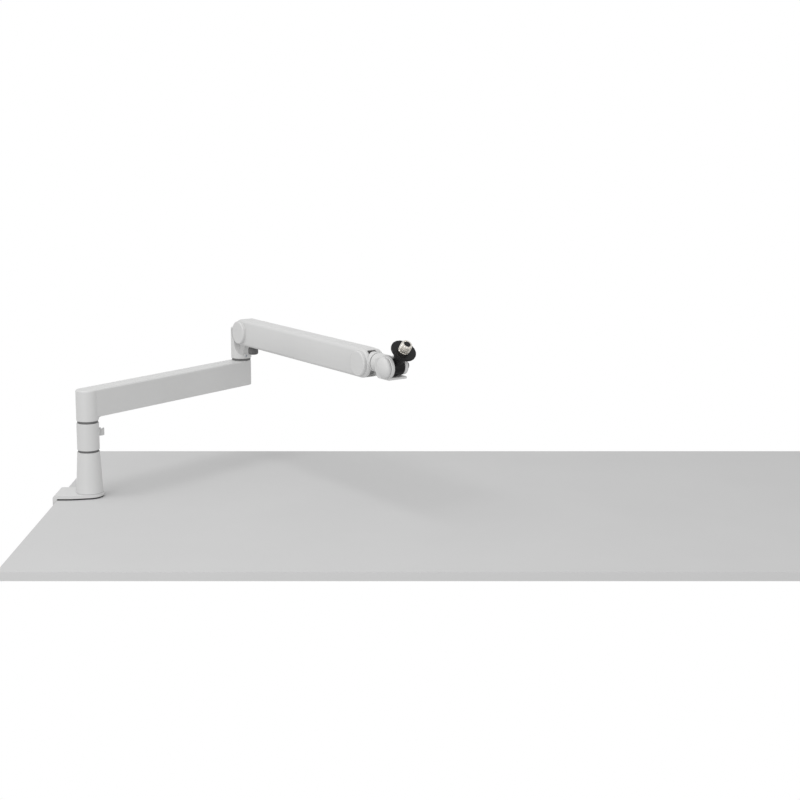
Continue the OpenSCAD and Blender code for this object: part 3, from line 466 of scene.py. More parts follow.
def plate(outline, z0, z1, place=AS_DRAWN):
    """A flat outline of (x, y) with a thickness along Z."""
    points = [(x, y, z0) for x, y in outline]
    piece = draw(points + points[:1])
    bpy.ops.mesh.remove_doubles(threshold=WELD)
    bpy.ops.mesh.edge_face_add()
    bpy.ops.mesh.extrude_region_move(TRANSFORM_OT_translate={"value": (0, 0, (z1 - z0) * MM)})
    tidy_mesh()
    return lay(piece, place)


def arc(cx, cy, rx, start, end, count=8, ry=None):
    """Points on an arc about (cx, cy), or on an oval with another radius along y."""
    ry = rx if ry is None else ry
    angles = [math.radians(start + (end - start) * i / count) for i in range(count + 1)]
    return [(cx + rx * math.cos(a), cy + ry * math.sin(a)) for a in angles]


# %% [markdown]
# Holes, slots and pockets are cut with Boolean modifiers, the way a mill cuts a casting. What
# comes more than once is modelled once and copied, and each copy has its own mesh.
# Then every hard edge gets a small bevel, because no real edge is sharp, and the shading is
# smoothed where faces meet softly. Weighted normals keep the large faces flat beside their
# bevels.

# %% Cutting
def merge(pieces):
    """Several pieces as one mesh, for a single cut."""
    clear()
    for piece in pieces:
        piece.select_set(True)
    bpy.context.view_layer.objects.active = pieces[0]
    bpy.ops.object.join()
    return pieces[0]


def copied(piece, place):
    """A copy with its own mesh, laid in its place."""
    twin = piece.copy()
    twin.data = piece.data.copy()
    bpy.context.scene.collection.objects.link(twin)
    return lay(twin, place)


def repeated(piece, places):
    """The piece copied to each place, as one mesh, for a single cut."""
    copies = [copied(piece, place) for place in places]
    bpy.data.objects.remove(piece)
    return merge(copies)


def modify(piece, kind, **settings):
    """Adds a modifier and applies it."""
    pick(piece)
    change = piece.modifiers.new(kind.lower(), kind)
    for key, value in settings.items():
        setattr(change, key, value)
    bpy.ops.object.modifier_apply(modifier=change.name)
    return piece


def combine(piece, how, tools):
    """Cuts, joins or trims a piece with each tool in turn, and removes the tools."""
    for tool in tools:
        modify(piece, "BOOLEAN", operation=how, solver="EXACT", object=tool)
        bpy.data.objects.remove(tool)
    return piece


def cut(piece, *tools):
    """Mills the tools out of a piece."""
    return combine(piece, "DIFFERENCE", tools)


def add(piece, *tools):
    """Joins the tools to a piece."""
    return combine(piece, "UNION", tools)


def trim(piece, *tools):
    """Keeps what lies inside the tools."""
    return combine(piece, "INTERSECT", tools)


# %% Edges and finish
def soften(piece, width, segments=3, angle=35):
    """Rounds the edges that turn by more than angle. Slivers that a cut has left are cleared
    first, because the shortest edge sets how wide a bevel can be. On pieces with many cuts
    some stay, and the bevel comes out narrower than asked, under a fifth of a millimetre."""
    pick(piece)
    bpy.ops.object.mode_set(mode="EDIT")
    bpy.ops.mesh.select_all(action="SELECT")
    bpy.ops.mesh.remove_doubles(threshold=0.02 * MM)
    bpy.ops.mesh.dissolve_degenerate(threshold=0.01 * MM)
    bpy.ops.mesh.dissolve_limited(angle_limit=math.radians(0.4))
    modify(
        piece, "BEVEL", width=width * MM, segments=segments, limit_method="ANGLE",
        angle_limit=math.radians(angle), use_clamp_overlap=True,
    )
    bpy.ops.object.mode_set(mode="EDIT")
    tidy_mesh()
    bpy.ops.object.mode_set(mode="OBJECT")
    return piece


def select(piece, kind, test):
    """In edit mode, selects the edges or faces whose corners all pass the test, in mm."""
    pick(piece)
    bpy.ops.object.mode_set(mode="EDIT")
    bpy.ops.mesh.select_mode(type=kind)
    bpy.ops.mesh.select_all(action="DESELECT")
    mesh = bmesh.from_edit_mesh(piece.data)
    items = mesh.edges if kind == "EDGE" else mesh.faces
    for item in items:
        item.select_set(all(test(corner.co / MM) for corner in item.verts))
    bmesh.update_edit_mesh(piece.data)


def near(a, b):
    """Equal to a hundredth of a millimetre."""
    return abs(a - b) < 0.01


def bevel_rim(piece, width, segments, test):
    """Rounds the edges whose corners pass the test."""
    select(piece, "EDGE", test)
    bpy.ops.mesh.bevel(offset=width * MM, segments=segments, affect="EDGES")
    bpy.ops.object.mode_set(mode="OBJECT")
    return piece


def volume(piece):
    """The volume that a piece encloses, in cubic centimetres, and its open edges."""
    mesh = bmesh.new()
    mesh.from_mesh(piece.data)
    amount = mesh.calc_volume(signed=True) * 1e6
    open_edges = sum(not edge.is_manifold for edge in mesh.edges)
    mesh.free()
    return amount, open_edges


def finished(piece, name, finish, body, slot, *solids, angle=50):
    """Smooths a piece, paints it, and puts it on its body in place of its solids."""
    pick(piece)
    bpy.ops.object.shade_smooth_by_angle(angle=math.radians(angle))
    modify(piece, "WEIGHTED_NORMAL", keep_sharp=True, weight=50)
    piece.name = piece.data.name = name
    piece.data.materials.clear()
    piece.data.materials.append(finish)
    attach(piece, body)
    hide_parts(*solids)
    amount, open_edges = volume(piece)
    print(f"{name}: {len(piece.data.polygons)} faces, {open_edges} open edges, {amount:.2f} cm3, "
          f"solid {sum(volume(nodes[n])[0] for n in solids):.2f} cm3")
    return piece


# %% [markdown]
# The base column is a tapered steel turning that stands on the clamp. Only its outside and
# its top rim show. It is drawn as half an outline, spun, and drilled for its three screws.
# A small foot keeps its lower edge from chipping.

# %% Base column
COLUMN_TOP = 66.5
POST_R, FOOT_R = 16, 19.5
SLEEVE_FLOOR, WELL_FLOOR = 46, 40.2
column = turned([
    (0, PLATE_TOP), (FOOT_R - 0.5, PLATE_TOP), (FOOT_R, PLATE_TOP + 0.8), (19.15, 9.4),
    (POST_R + 0.15, COLUMN_TOP), (COLUMN_SLEEVE_R + FIT, COLUMN_TOP),
    (COLUMN_SLEEVE_R + FIT, SLEEVE_FLOOR), (10.3, SLEEVE_FLOOR), (10.3, WELL_FLOOR),
    (0, WELL_FLOOR),
])
soften(column, 0.9)
cut(column, repeated(rod(2.55, PLATE_TOP - 1, 20.5, AS_DRAWN, 24), SCREW_PLACES))
finished(column, "base_column_turned", WHITE_BASE, "clamp_base", "white_steel", "base_column")

# %% [markdown]
# Three dark bearing rings part the column, the riser, the lower arm and the elbow. Each is
# the flange of a plastic bush whose sleeve goes down into the piece below. The rings are a
# little smaller than the posts, which makes the dark line between them look sunk.

# %% Bearing rings
RISER_Z, RISER_TOP = 69.5, 109
LOWER_TOP = 157.6
RING_R, RING_H = 14.7, 3


def bearing(z, bore, sleeve, depth, place=AS_DRAWN):
    """A flanged bush with its flange from z up."""
    piece = turned([
        (bore, -depth), (sleeve, -depth), (sleeve, 0), (RING_R, 0), (RING_R, RING_H),
        (bore, RING_H),
    ], place @ shift(0, 0, z), ring=True)
    return soften(piece, 0.25, 2)


finished(bearing(COLUMN_TOP, PIVOT_R + FIT, COLUMN_SLEEVE_R, 20.2), "column_ring", RING_GREY,
         "clamp_base", "black_plastic", "column_bush")
finished(bearing(RISER_TOP, SPINDLE_R + FIT, RISER_SLEEVE_R, 21), "riser_ring", RING_GREY,
         "riser", "black_plastic", "riser_bush")
finished(bearing(LOWER_TOP, SPINDLE_R + FIT, ELBOW_SLEEVE_R, 29.5, AT_ELBOW), "elbow_ring",
         RING_GREY, "lower_arm", "black_plastic", "elbow_bush")

# %% [markdown]
# The riser lifts the arm above what lies on the desk. It is a plain tube with rounded rims,
# and a small flat behind it seats the cable clip.

# %% Riser
CLIP_Z, CLIP_SEAT_X, CLIP_HOLE_R = 91.6, 15.2, 1.3
WEB_LOW, WEB_HIGH = 85.8, 87.7   # the wall between the pivot's bore and the sleeve's
riser = turned([
    (0, WEB_LOW), (PIVOT_R + FIT, WEB_LOW), (PIVOT_R + FIT, RISER_Z), (POST_R, RISER_Z),
    (POST_R, RISER_TOP), (RISER_SLEEVE_R + FIT, RISER_TOP), (RISER_SLEEVE_R + FIT, WEB_HIGH),
    (0, WEB_HIGH),
])
soften(riser, 0.9)
cut(riser,
    block((CLIP_SEAT_X, 19.2), (-4.6, 4.6), (CLIP_Z - 5.1, CLIP_Z + 5.1), AT_LOWER),
    rod(CLIP_HOLE_R, 12, 17, AT_LOWER @ shift(0, 0, CLIP_Z) @ ABOUT_X, 24))
finished(riser, "riser_turned", WHITE_BASE, "riser", "white_steel", "riser_tube")

# %% [markdown]
# The clip is an open hook that holds the cable behind the riser. It is a round bar bored
# through, with a mouth cut at a slant so that the cable clicks in and doesn't fall out.

# %% Cable clip
CLIP_X, CLIP_R, LOOP_R = 23.5, 5.3, 3.4
clip_low, clip_high = CLIP_Z - 5, CLIP_Z + 5
clip = rod(CLIP_R, clip_low, clip_high, shift(CLIP_X, 0, 0), 64)
add(clip, block((CLIP_SEAT_X, 18.2), (-4.5, 4.5), (clip_low, clip_high)),
    block((17.5, 20.5), (-2.4, 2.4), (clip_low, clip_high)))
cut(clip, rod(LOOP_R, clip_low - 1, clip_high + 1, shift(CLIP_X, 0, 0), 64),
    block((0, CLIP_R + 1), (-1.9, 1.9), (clip_low - 1, clip_high + 1),
          shift(CLIP_X, 0, 0) @ turn("Z", 25)),
    rod(CLIP_HOLE_R, 14, 22, shift(0, 0, CLIP_Z) @ ABOUT_X, 24))
soften(clip, 0.45, 3)
finished(lay(clip, AT_LOWER), "cable_hook", WHITE_BASE, "riser", "white_steel", "cable_clip")

# %% [markdown]
# The lower arm is an aluminium beam with a rounded far end and a slightly wider round hub
# over the riser. The beam starts as a cylinder: its front half is pulled out to the arm's
# length, which leaves two round ends and straight sides, and its rims are bevelled. The hub
# is a second cylinder. Where it meets the beam a crisp line shows on the real arm, and a
# small fillet fills the corner below.

# %% Lower arm: beam and hub
LOWER_Z, HUB_Z = 117.6, 112.2
HALF_LW, TOP_BEVEL = 15.2, 2.4


def stretched(piece, length):
    """Pulls the front half of a round blank out to length, into a long round-ended bar."""
    pick(piece)
    bpy.ops.object.mode_set(mode="EDIT")
    bpy.ops.mesh.select_all(action="SELECT")
    bpy.ops.mesh.bisect(plane_co=(0, 0, 0), plane_no=(1, 0, 0))
    select(piece, "FACE", lambda v: v.x > -0.001)
    bpy.ops.mesh.extrude_region_move(TRANSFORM_OT_translate={"value": (length * MM, 0, 0)})
    bpy.ops.mesh.select_all(action="SELECT")
    bpy.ops.mesh.dissolve_limited(angle_limit=math.radians(0.5))
    bpy.ops.object.mode_set(mode="OBJECT")
    return piece


lower_arm = stretched(rod(HALF_LW, LOWER_Z, LOWER_TOP), LOWER_LEN)
bevel_rim(lower_arm, TOP_BEVEL, 8, lambda v: near(v.z, LOWER_TOP))
bevel_rim(lower_arm, 1.0, 6, lambda v: near(v.z, LOWER_Z))
hub = rod(POST_R, HUB_Z, LOWER_TOP)
bevel_rim(hub, TOP_BEVEL, 8, lambda v: near(v.z, LOWER_TOP))
bevel_rim(hub, 1.1, 6, lambda v: near(v.z, HUB_Z))
FILLET, FILLET_FOOT = 4.2, HUB_Z + 1.2
fillet = turned([(13, LOWER_Z + 1), (13, FILLET_FOOT)]
                + arc(POST_R + FILLET, FILLET_FOOT, FILLET, 180, 90)
                + [(POST_R + FILLET, LOWER_Z + 1)], ring=True)
trim(fillet, block((0, 24), (-14.2, 14.2), (HUB_Z, LOWER_Z + 2)))
add(lower_arm, hub, fillet)
print("lower arm", len(lower_arm.data.polygons), "faces before milling")

# %% [markdown]
# The cable runs inside the arms. A long channel is open below, two bridges across it carry
# the cover's magnets, and bores at the ends take the spindle and the elbow's bush.

# %% Lower arm: channel and bores
CHANNEL_TOP = 153.6
POCKET_R, POCKET_TOP = 12.8, 127.8   # room for the screw that holds the spindle
LOWER_BRIDGES, BRIDGE_Z = (68, 250), 121.3


def magnet_wells(x_list, y, z, depth):
    """Four round wells, side by side on two bridges, as one tool."""
    return repeated(rod(MAGNET_R + FIT, z, z + depth, AS_DRAWN, 32),
                    [shift(x, side * y, 0) for x in x_list for side in (-1, 1)])


cut(lower_arm, block((24, 294), (-12, 12), (LOWER_Z - 1, CHANNEL_TOP)))
add(lower_arm, *[
    block((x - 6, x + 6), (-12.5, 12.5), (BRIDGE_Z, BRIDGE_Z + 5)) for x in LOWER_BRIDGES
])
cut(lower_arm, rod(SPINDLE_R + FIT, HUB_Z - 1, 146.2, AS_DRAWN, 64),
    rod(ELBOW_SLEEVE_R + FIT, POCKET_TOP, LOWER_TOP + 3, shift(LOWER_LEN, 0, 0), 64),
    rod(POCKET_R, LOWER_Z - 1, POCKET_TOP, shift(LOWER_LEN, 0, 0), 64),
    magnet_wells(LOWER_BRIDGES, LOWER_WELL_Y, BRIDGE_Z - 1, 3.1))
soften(lower_arm, 0.3, 2, 50)
finished(lay(lower_arm, AT_LOWER), "lower_arm_shell", WHITE, "lower_arm", "white_aluminium",
         "lower_beam", angle=16)

# %% [markdown]
# A cover closes each channel from below. It is a strip with a notch for a fingernail at each
# end, two shallow lines along its outside, and wells for its magnets.

# %% Cable covers
COVER_T = 3


def cover(x0, x1, half, z, x_list, well_y):
    """A channel cover from x0 to x1 with its outside at z."""
    piece = block((x0, x1), (0.3 - half, half - 0.3), (z, z + COVER_T))
    bevel_rim(piece, 0.5, 3, lambda v: near(v.z, z))
    grooves = [
        block((x0 + 12, x1 - 12), sorted((side * (half - 4.6), side * (half - 3.4))),
              (z - 1, z + 0.5))
        for side in (-1, 1)
    ]
    notches = [rod(6, z - 1, z + COVER_T + 1, shift(x, 0, 0), 48) for x in (x0, x1)]
    cut(piece, merge(grooves), merge(notches), magnet_wells(x_list, well_y, z + 0.9, 3))
    return soften(piece, 0.2, 2)


lower_cover = cover(44, 274, 12, LOWER_Z + 0.5, LOWER_BRIDGES, LOWER_WELL_Y)
finished(lay(lower_cover, AT_LOWER), "lower_channel_cover", WHITE, "lower_cover",
         "white_aluminium", "lower_cover")

# %% [markdown]
# The elbow is a round post that is scooped out like a saddle for the upper arm's round end.
# A tongue rises from the saddle's floor to the tilt axis. A cylinder is cut by two lying
# cylinders, and the tongue is a disc with a stem. A small boss takes the set screw.

# %% Elbow post
SWIVEL_Z = 160.8
TONGUE_R, TONGUE_HALF = 12, 5.5
STEM_FLOOR = -42.1
AXIS = shift(TILT_REACH, 0, TILT_Z)
STEM_REAR = [(-12, 0), (-16, -22)]
STEM_FRONT = [(6, -10.32), (-5.5, -33)]
post = rod(POST_R, SWIVEL_Z, TILT_Z + 5)
for rim in (SWIVEL_Z, TILT_Z + 5):
    bevel_rim(post, 1.2, 4, lambda v: near(v.z, rim))
cut(post, rod(END_HOLLOW_R, -22, 22, AXIS @ FRONT, 128),
    rod(28, -22, 22, shift(TILT_REACH + 12, 0, TILT_Z - 17) @ FRONT, 128))
stem = [(0, 0), *STEM_REAR, (-15, STEM_FLOOR), (-7, STEM_FLOOR), STEM_FRONT[1], STEM_FRONT[0]]
tongue = rod(TONGUE_R, -TONGUE_HALF, TONGUE_HALF, AXIS @ FRONT)
add(tongue, plate(stem, -TONGUE_HALF, TONGUE_HALF, AXIS @ FRONT))
BOSS_Z = 165.4
add(post, tongue, rod(4, 11, 16.6, shift(0, 0, BOSS_Z) @ ABOUT_X, 48))
cut(post, rod(BOLT_R + FIT, -7, 7, AXIS @ FRONT, 48),
    rod(SPINDLE_R + FIT, SWIVEL_Z - 1, 171.8, AS_DRAWN, 64),
    rod(2.05, 7, 21, shift(0, 0, BOSS_Z) @ ABOUT_X, 32))
soften(post, 0.5, 3, 40)
finished(lay(post, AT_ELBOW), "elbow_post", WHITE, "elbow", "white_aluminium", "elbow_swivel")

# %% [markdown]
# The upper arm is the largest piece in view. Its sides are softly crowned and its long edges
# are broad and oval, taller than they are deep. A bevel is always round, so the blank is
# made thicker than the arm, bevelled, and pressed flatter, which turns the round edges oval.
# Then each side is inset four times, a little further out each time, for the crown.

# %% Upper arm: blank with oval edges and crowned sides
HALF_UW, CROWN = 14.5, 0.8
EDGE_TALL, EDGE_DEEP = 6, 4.5
press = EDGE_DEEP / EDGE_TALL
blank_half = (HALF_UW - CROWN) / press
upper_arm = stretched(rod(END_R, -blank_half, blank_half, FRONT, 128), UPPER_LEN)
for rim in (-blank_half, blank_half):
    bevel_rim(upper_arm, EDGE_TALL, 10, lambda v: near(v.y, rim))
bpy.ops.object.mode_set(mode="EDIT")
bpy.ops.mesh.select_all(action="SELECT")
bpy.ops.transform.resize(value=(1, press, 1), center_override=(0, 0, 0))
select(upper_arm, "FACE", lambda v: near(abs(v.y), HALF_UW - CROWN))
side_h, inset_by, rings = END_R - EDGE_TALL, 3, 4
for i in range(rings):
    before, after = (CROWN * (1 - (1 - inset_by * n / side_h) ** 2) for n in (i, i + 1))
    bpy.ops.mesh.inset(thickness=inset_by * MM, depth=(after - before) * MM)
bpy.ops.object.mode_set(mode="OBJECT")
print("upper arm blank", [round(v * 1000, 2) for v in upper_arm.dimensions], "mm")

# %% [markdown]
# Each end holds a hinge. A tongue turns in a slot between two cheeks, a bolt draws them
# together, and a round cap on each side hides the bolt. The caps sit in shallow dishes,
# whose curved rims catch the light, and plug into counterbores. The slots open only as far
# as the tongues swing.

# %% Upper arm: hinges
SLOT_HALF, DISH_T, CAP_R, SKIRT_R = 7.2, 1.1, 18, 13
TONGUE_GAP = 0.6
NECK_FRONT, WRIST_UP, WRIST_DOWN = 25.5, 6.5, -8.5


def swung(point, degrees, gap=0.0):
    """A point set off by a gap along x and turned about the hinge."""
    a, x, y = math.radians(degrees), point[0] + gap, point[1]
    return (x * math.cos(a) - y * math.sin(a), x * math.sin(a) + y * math.cos(a))


def hinge_tools(x, room):
    """What is milled away for a hinge at x: dishes, counterbores, bolt hole and slot."""
    at = shift(x, 0, 0)
    floor_y = HALF_UW - DISH_T
    rise = [(CAP_R + 0.6 + 5.2 * t / 6, floor_y + 1.25 * (t / 6) ** 2) for t in range(7)]
    dish = ([(0, 10), (SKIRT_R + FIT, 10), (SKIRT_R + FIT, floor_y)] + rise
            + [(rise[-1][0], HALF_UW + 1), (0, HALF_UW + 1)])
    slot = plate(room, -SLOT_HALF, SLOT_HALF, at @ FRONT)
    add(slot, rod(TONGUE_R + TONGUE_GAP, -SLOT_HALF, SLOT_HALF, at @ FRONT))
    return [slot, rod(BOLT_R + FIT, -12, 12, at @ FRONT, 48),
            turned(dish, at @ FRONT, steps=120), turned(dish, at @ REAR, steps=120)]


elbow_room = [
    (0, 0), swung(STEM_REAR[0], -55, -TONGUE_GAP), swung(STEM_REAR[1], -55, -TONGUE_GAP),
    (-END_R - 10, -END_R - 14), swung(STEM_FRONT[1], 15, TONGUE_GAP),
    swung(STEM_FRONT[0], 15, TONGUE_GAP),
]
head_room = [
    (0, 0), swung((0, TONGUE_R + TONGUE_GAP), 40),
    swung((NECK_FRONT - 2, WRIST_UP + TONGUE_GAP), 40),
    (END_R + 14, END_R + 10), (END_R + 14, -END_R - 10),
    swung((NECK_FRONT - 2, WRIST_DOWN - TONGUE_GAP), -40),
    swung((0, -TONGUE_R - TONGUE_GAP), -40),
]
cut(upper_arm, *hinge_tools(0, elbow_room), *hinge_tools(UPPER_LEN, head_room))
print("upper arm", len(upper_arm.data.polygons), "faces after the hinges")

# %% [markdown]
# Below, the upper arm has the same channel, bridges and magnets as the lower one, and a
# pocket beside the tongue for the brake wedge that the tension knob draws down.

# %% Upper arm: channel and brake pocket
UPPER_BRIDGES, UPPER_BRIDGE_Z = (72, 270), -16.9
TENSION_X = 18
cut(upper_arm, block((28, UPPER_LEN - 28), (-11.3, 11.3), (-END_R - 1, 16.4)))
add(upper_arm, *[
    block((x - 6, x + 6), (-11.8, 11.8), (UPPER_BRIDGE_Z, UPPER_BRIDGE_Z + 5))
    for x in UPPER_BRIDGES
])
cut(upper_arm, plate([(0, 7), (23.2, 7), (24.9, -11), (0, -11)], -6.4, 6.4, FRONT),
    rod(3.1, -END_R - 1, -1, shift(TENSION_X, 0, 0), 32),
    magnet_wells(UPPER_BRIDGES, UPPER_WELL_Y, UPPER_BRIDGE_Z - 1, 3.1))
soften(upper_arm, 0.3, 2, 50)
finished(lay(upper_arm, AT_TILT), "upper_arm_shell", WHITE, "upper_arm", "white_aluminium",
         "upper_beam", angle=20)
upper_cover = cover(48, UPPER_LEN - 48, 11.3, -END_R + 0.5, UPPER_BRIDGES, UPPER_WELL_Y)
finished(lay(upper_cover, AT_TILT), "upper_channel_cover", WHITE, "upper_cover",
         "white_aluminium", "upper_cover")

# %% [markdown]
# Four round caps hide the hinge bolts. A cap is a shallow lid with a skirt that snaps into
# the counterbore, and a round edge. One is modelled, and the others are copies of it. The
# outer face of the one at the head is left bare.

# %% Hinge caps
CAP_FACE = HALF_UW + 3.5
CAP_EDGE = 2
cap = turned(
    [(0, CAP_FACE)] + arc(CAP_R - CAP_EDGE, CAP_FACE - CAP_EDGE, CAP_EDGE, 90, 0)
    + [(CAP_R, HALF_UW - DISH_T), (SKIRT_R, HALF_UW - DISH_T), (SKIRT_R, 10.3), (10.8, 10.3),
       (10.8, 15.1), (9.6, 16.7), (0, 16.7)], steps=128)
for name, place in {
    "elbow_cap_front": AT_TILT @ FRONT, "elbow_cap_rear": AT_TILT @ REAR,
    "head_cap_front": AT_HEAD @ FRONT, "head_cap_rear": AT_HEAD @ REAR,
}.items():
    finished(copied(cap, place), name + "_lid", WHITE, "upper_arm", "white_aluminium", name)
bpy.data.objects.remove(cap)

# %% [markdown]
# The tension knob sets how hard the elbow holds. Twelve shallow flutes round it give a grip.
# One flute cutter is modelled and copied round the knob, and all twelve cut at once.

# %% Tension knob
def flutes(radius, reach, z0, z1, count):
    """Upright cylinders round a circle of radius reach, as one tool."""
    return repeated(rod(radius, z0, z1, AS_DRAWN, 24),
                    [turn("Z", 360 * i / count) @ shift(reach, 0, 0) for i in range(count)])


KNOB_TOP = -END_R - 0.4
knob_low = KNOB_TOP - 12.6
tension = turned(
    [(0, knob_low)] + arc(5, knob_low + 3, 3, -90, 0, 6)
    + [(8, KNOB_TOP - 4), (6.5, KNOB_TOP - 1.4), (5, KNOB_TOP), (3, KNOB_TOP), (3, 4), (0, 4)])
cut(tension, flutes(1.5, 8.8, knob_low - 1, KNOB_TOP - 4.5, 12))
soften(tension, 0.25, 2)
finished(lay(tension, AT_TILT @ shift(TENSION_X, 0, 0)), "tension_knob_fluted", RING_GREY,
         "tension_knob", "black_plastic", "tension_knob")

# %% [markdown]
# The wrist joins the upper arm to the fork. Its tongue tilts in the arm's end, and its round
# neck is where the head rolls. The neck is hollowed behind to clear the arm's round end.

# %% Wrist
NECK_R = 13.5
wrist = turned([(0, 8), (NECK_R, 8), (NECK_R, NECK_FRONT), (0, NECK_FRONT)],
               shift(0, 0, NECK_RISE) @ ABOUT_X)
cut(wrist, rod(END_HOLLOW_R, -20, 20, FRONT, 128))
tongue = rod(TONGUE_R, -TONGUE_HALF, TONGUE_HALF, FRONT)
add(tongue, plate([(0, TONGUE_R), (NECK_FRONT - 2, WRIST_UP), (NECK_FRONT - 2, WRIST_DOWN),
                   (0, -TONGUE_R)], -TONGUE_HALF, TONGUE_HALF, FRONT))
add(wrist, tongue)
cut(wrist, rod(BOLT_R + FIT, -7, 7, FRONT, 48),
    rod(ROLL_BOLT_R + FIT, 14, 34, shift(0, 0, NECK_RISE) @ ABOUT_X, 32))
soften(wrist, 0.6, 3, 40)
finished(lay(wrist, AT_HEAD), "wrist_neck", WHITE, "wrist", "white_aluminium", "wrist")
washer = turned([(3.2, NECK_FRONT), (NECK_R - 1.1, NECK_FRONT), (NECK_R - 1.1, 26.9), (3.2, 26.9)],
                AT_NECK @ ABOUT_X, ring=True)
finished(soften(washer, 0.2, 2), "roll_ring", KNOB_GREY, "wrist", "black_plastic", "roll_washer")

# %% [markdown]
# The fork holds the black lug between two ears. Both ears are cast in one with a round root
# and a floor that ends in a rounded lip. Each part is modelled and softened by itself, and
# then they are joined, so that the edges keep their own radius.

# %% Fork
FORK_BACK, FORK_ROOT, EAR_IN, EAR_OUT = 27, 50, 9.5, 15


def ear(radius, near_side):
    """One ear: its outline runs from the root to a round tip about the bolt."""
    outline = ([(40, -8), (46, -13)] + arc(FORK_REACH, 0, radius, -100, 100, 32)
               + [(46, min(11.5, radius - 0.5)), (40, 8)])
    low, high = (EAR_IN, EAR_OUT) if near_side else (-EAR_OUT, -EAR_IN)
    return soften(plate(outline, low, high, FRONT), 1.2, 4, 40)


fork = turned([(0, FORK_BACK), (NECK_R, FORK_BACK)]
              + arc(NECK_R - 2.5, FORK_ROOT - 2.5, 2.5, 0, 90, 6) + [(0, FORK_ROOT)], ABOUT_X)
soften(fork, 0.7)
lip = ([(42, -9), (46, -16.2), (49, -17.2)] + arc(FORK_REACH + 6, -15.4, 1.8, -90, 90)
       + [(55, -13.6), (50, -9)])
add(fork, ear(15, True), ear(12, False), soften(plate(lip, -EAR_OUT, EAR_OUT, FRONT), 0.7, 3, 40))
cut(fork, rod(BOLT_R + FIT, -30, 30, shift(FORK_REACH, 0, 0) @ FRONT, 48),
    rod(ROLL_BOLT_R + FIT, 0, 55, ABOUT_X, 32),
    rod(5.7, FORK_BACK + 6, FORK_BACK + 46, ABOUT_X, 48),
    rod(7.1, EAR_OUT - 1.5, EAR_OUT + 3.5, shift(FORK_REACH, 0, 0) @ REAR, 6))
finished(lay(fork, AT_NECK), "head_fork", WHITE, "fork", "white_aluminium", "fork")

# %% [markdown]
# A black cap nut closes the bolt on the far ear, and the white domed knob on the near ear is
# what a hand turns to let the microphone lean.

# %% Cap nut and domed knob
nut = soften(rod(6.9, EAR_OUT - 1.4, EAR_OUT + 3.2, REAR, 6), 0.4, 3)
dome_base = EAR_OUT + 3
add(nut, turned([(0, dome_base), (5.9, dome_base)] + arc(0, EAR_OUT + 3.6, 5.9, 0, 90, 10, 3.6),
                REAR))
cut(nut, rod(BOLT_R + FIT, -18.4, 18.4, REAR, 48))
finished(lay(nut, AT_FORK), "cap_nut", BLACK, "fork", "steel", "fork_nut")

DOME_R, DOME_T, dome_z = 14.5, 9.6, EAR_OUT + 0.3
dome = turned([(0, dome_z), (DOME_R - 0.9, dome_z), (DOME_R, dome_z + 0.9), (DOME_R, dome_z + 3)]
              + arc(0, dome_z + 3, DOME_R, 0, 90, 20, DOME_T - 3), FRONT, steps=128)
cut(dome, rod(BOLT_R + FIT, -1, EAR_OUT + 5.2, FRONT, 48))
finished(lay(dome, AT_FORK), "dome_knob", WHITE, "tilt_knob", "white_aluminium", "domed_knob")

# %% [markdown]
# The black lug leans between the ears and carries the stud. It is a short cylinder across
# the fork with a neck that flares to a shoulder under the lock ring.

# %% Lug and stud
STUD_BASE, STUD_TOP, CORE_R = 25, 46, 4.7625
lug = soften(rod(12.2, -9.2, 9.2, FRONT), 0.9, 4)
neck = ([(0, 0), (8, 0), (8, 17.5)] + arc(11.5, 17.5, 3.5, 180, 118, 6)
        + [(10.5, 22), (10.5, STUD_BASE), (CORE_R, STUD_BASE), (CORE_R, STUD_TOP - 1),
           (CORE_R - 1, STUD_TOP), (0, STUD_TOP)])
add(lug, turned(neck))
cut(lug, rod(BOLT_R + FIT, -20, 20, FRONT, 48))
soften(lug, 0.3, 2, 50)
finished(lay(lug, AT_STUD), "stud_lug", BLACK, "mic_lug", "black_metal", "mic_lug")


# %% [markdown]
# A thread is a small ridge wound round a core. The Screw modifier winds a ridge's outline up
# a helix, and the ends are then closed. The microphone's thread has 27 turns to the inch;
# the clamp screw's is coarse, two millimetres to a turn.

# %% Threads
def helix(root, crest, pitch, z0, turns, steps=40):
    """A helical ridge from radius root to crest that starts at z0."""
    flank = [(root, 0, z0), (crest, 0, z0 + 0.38 * pitch), (crest, 0, z0 + 0.5 * pitch),
             (root, 0, z0 + 0.88 * pitch)]
    piece = draw(flank + flank[:1])
    bpy.ops.mesh.remove_doubles(threshold=WELD)
    modify(piece, "SCREW", screw_offset=pitch * MM, iterations=turns, steps=steps,
           render_steps=steps, use_normal_calculate=True, use_merge_vertices=False)
    bpy.ops.object.mode_set(mode="EDIT")
    bpy.ops.mesh.select_mode(type="EDGE")
    bpy.ops.mesh.select_all(action="DESELECT")
    bpy.ops.mesh.select_non_manifold(extend=False)
    bpy.ops.mesh.fill_holes(sides=6)
    bpy.ops.mesh.select_all(action="SELECT")
    bpy.ops.mesh.normals_make_consistent(inside=False)
    bpy.ops.object.mode_set(mode="OBJECT")
    return piece


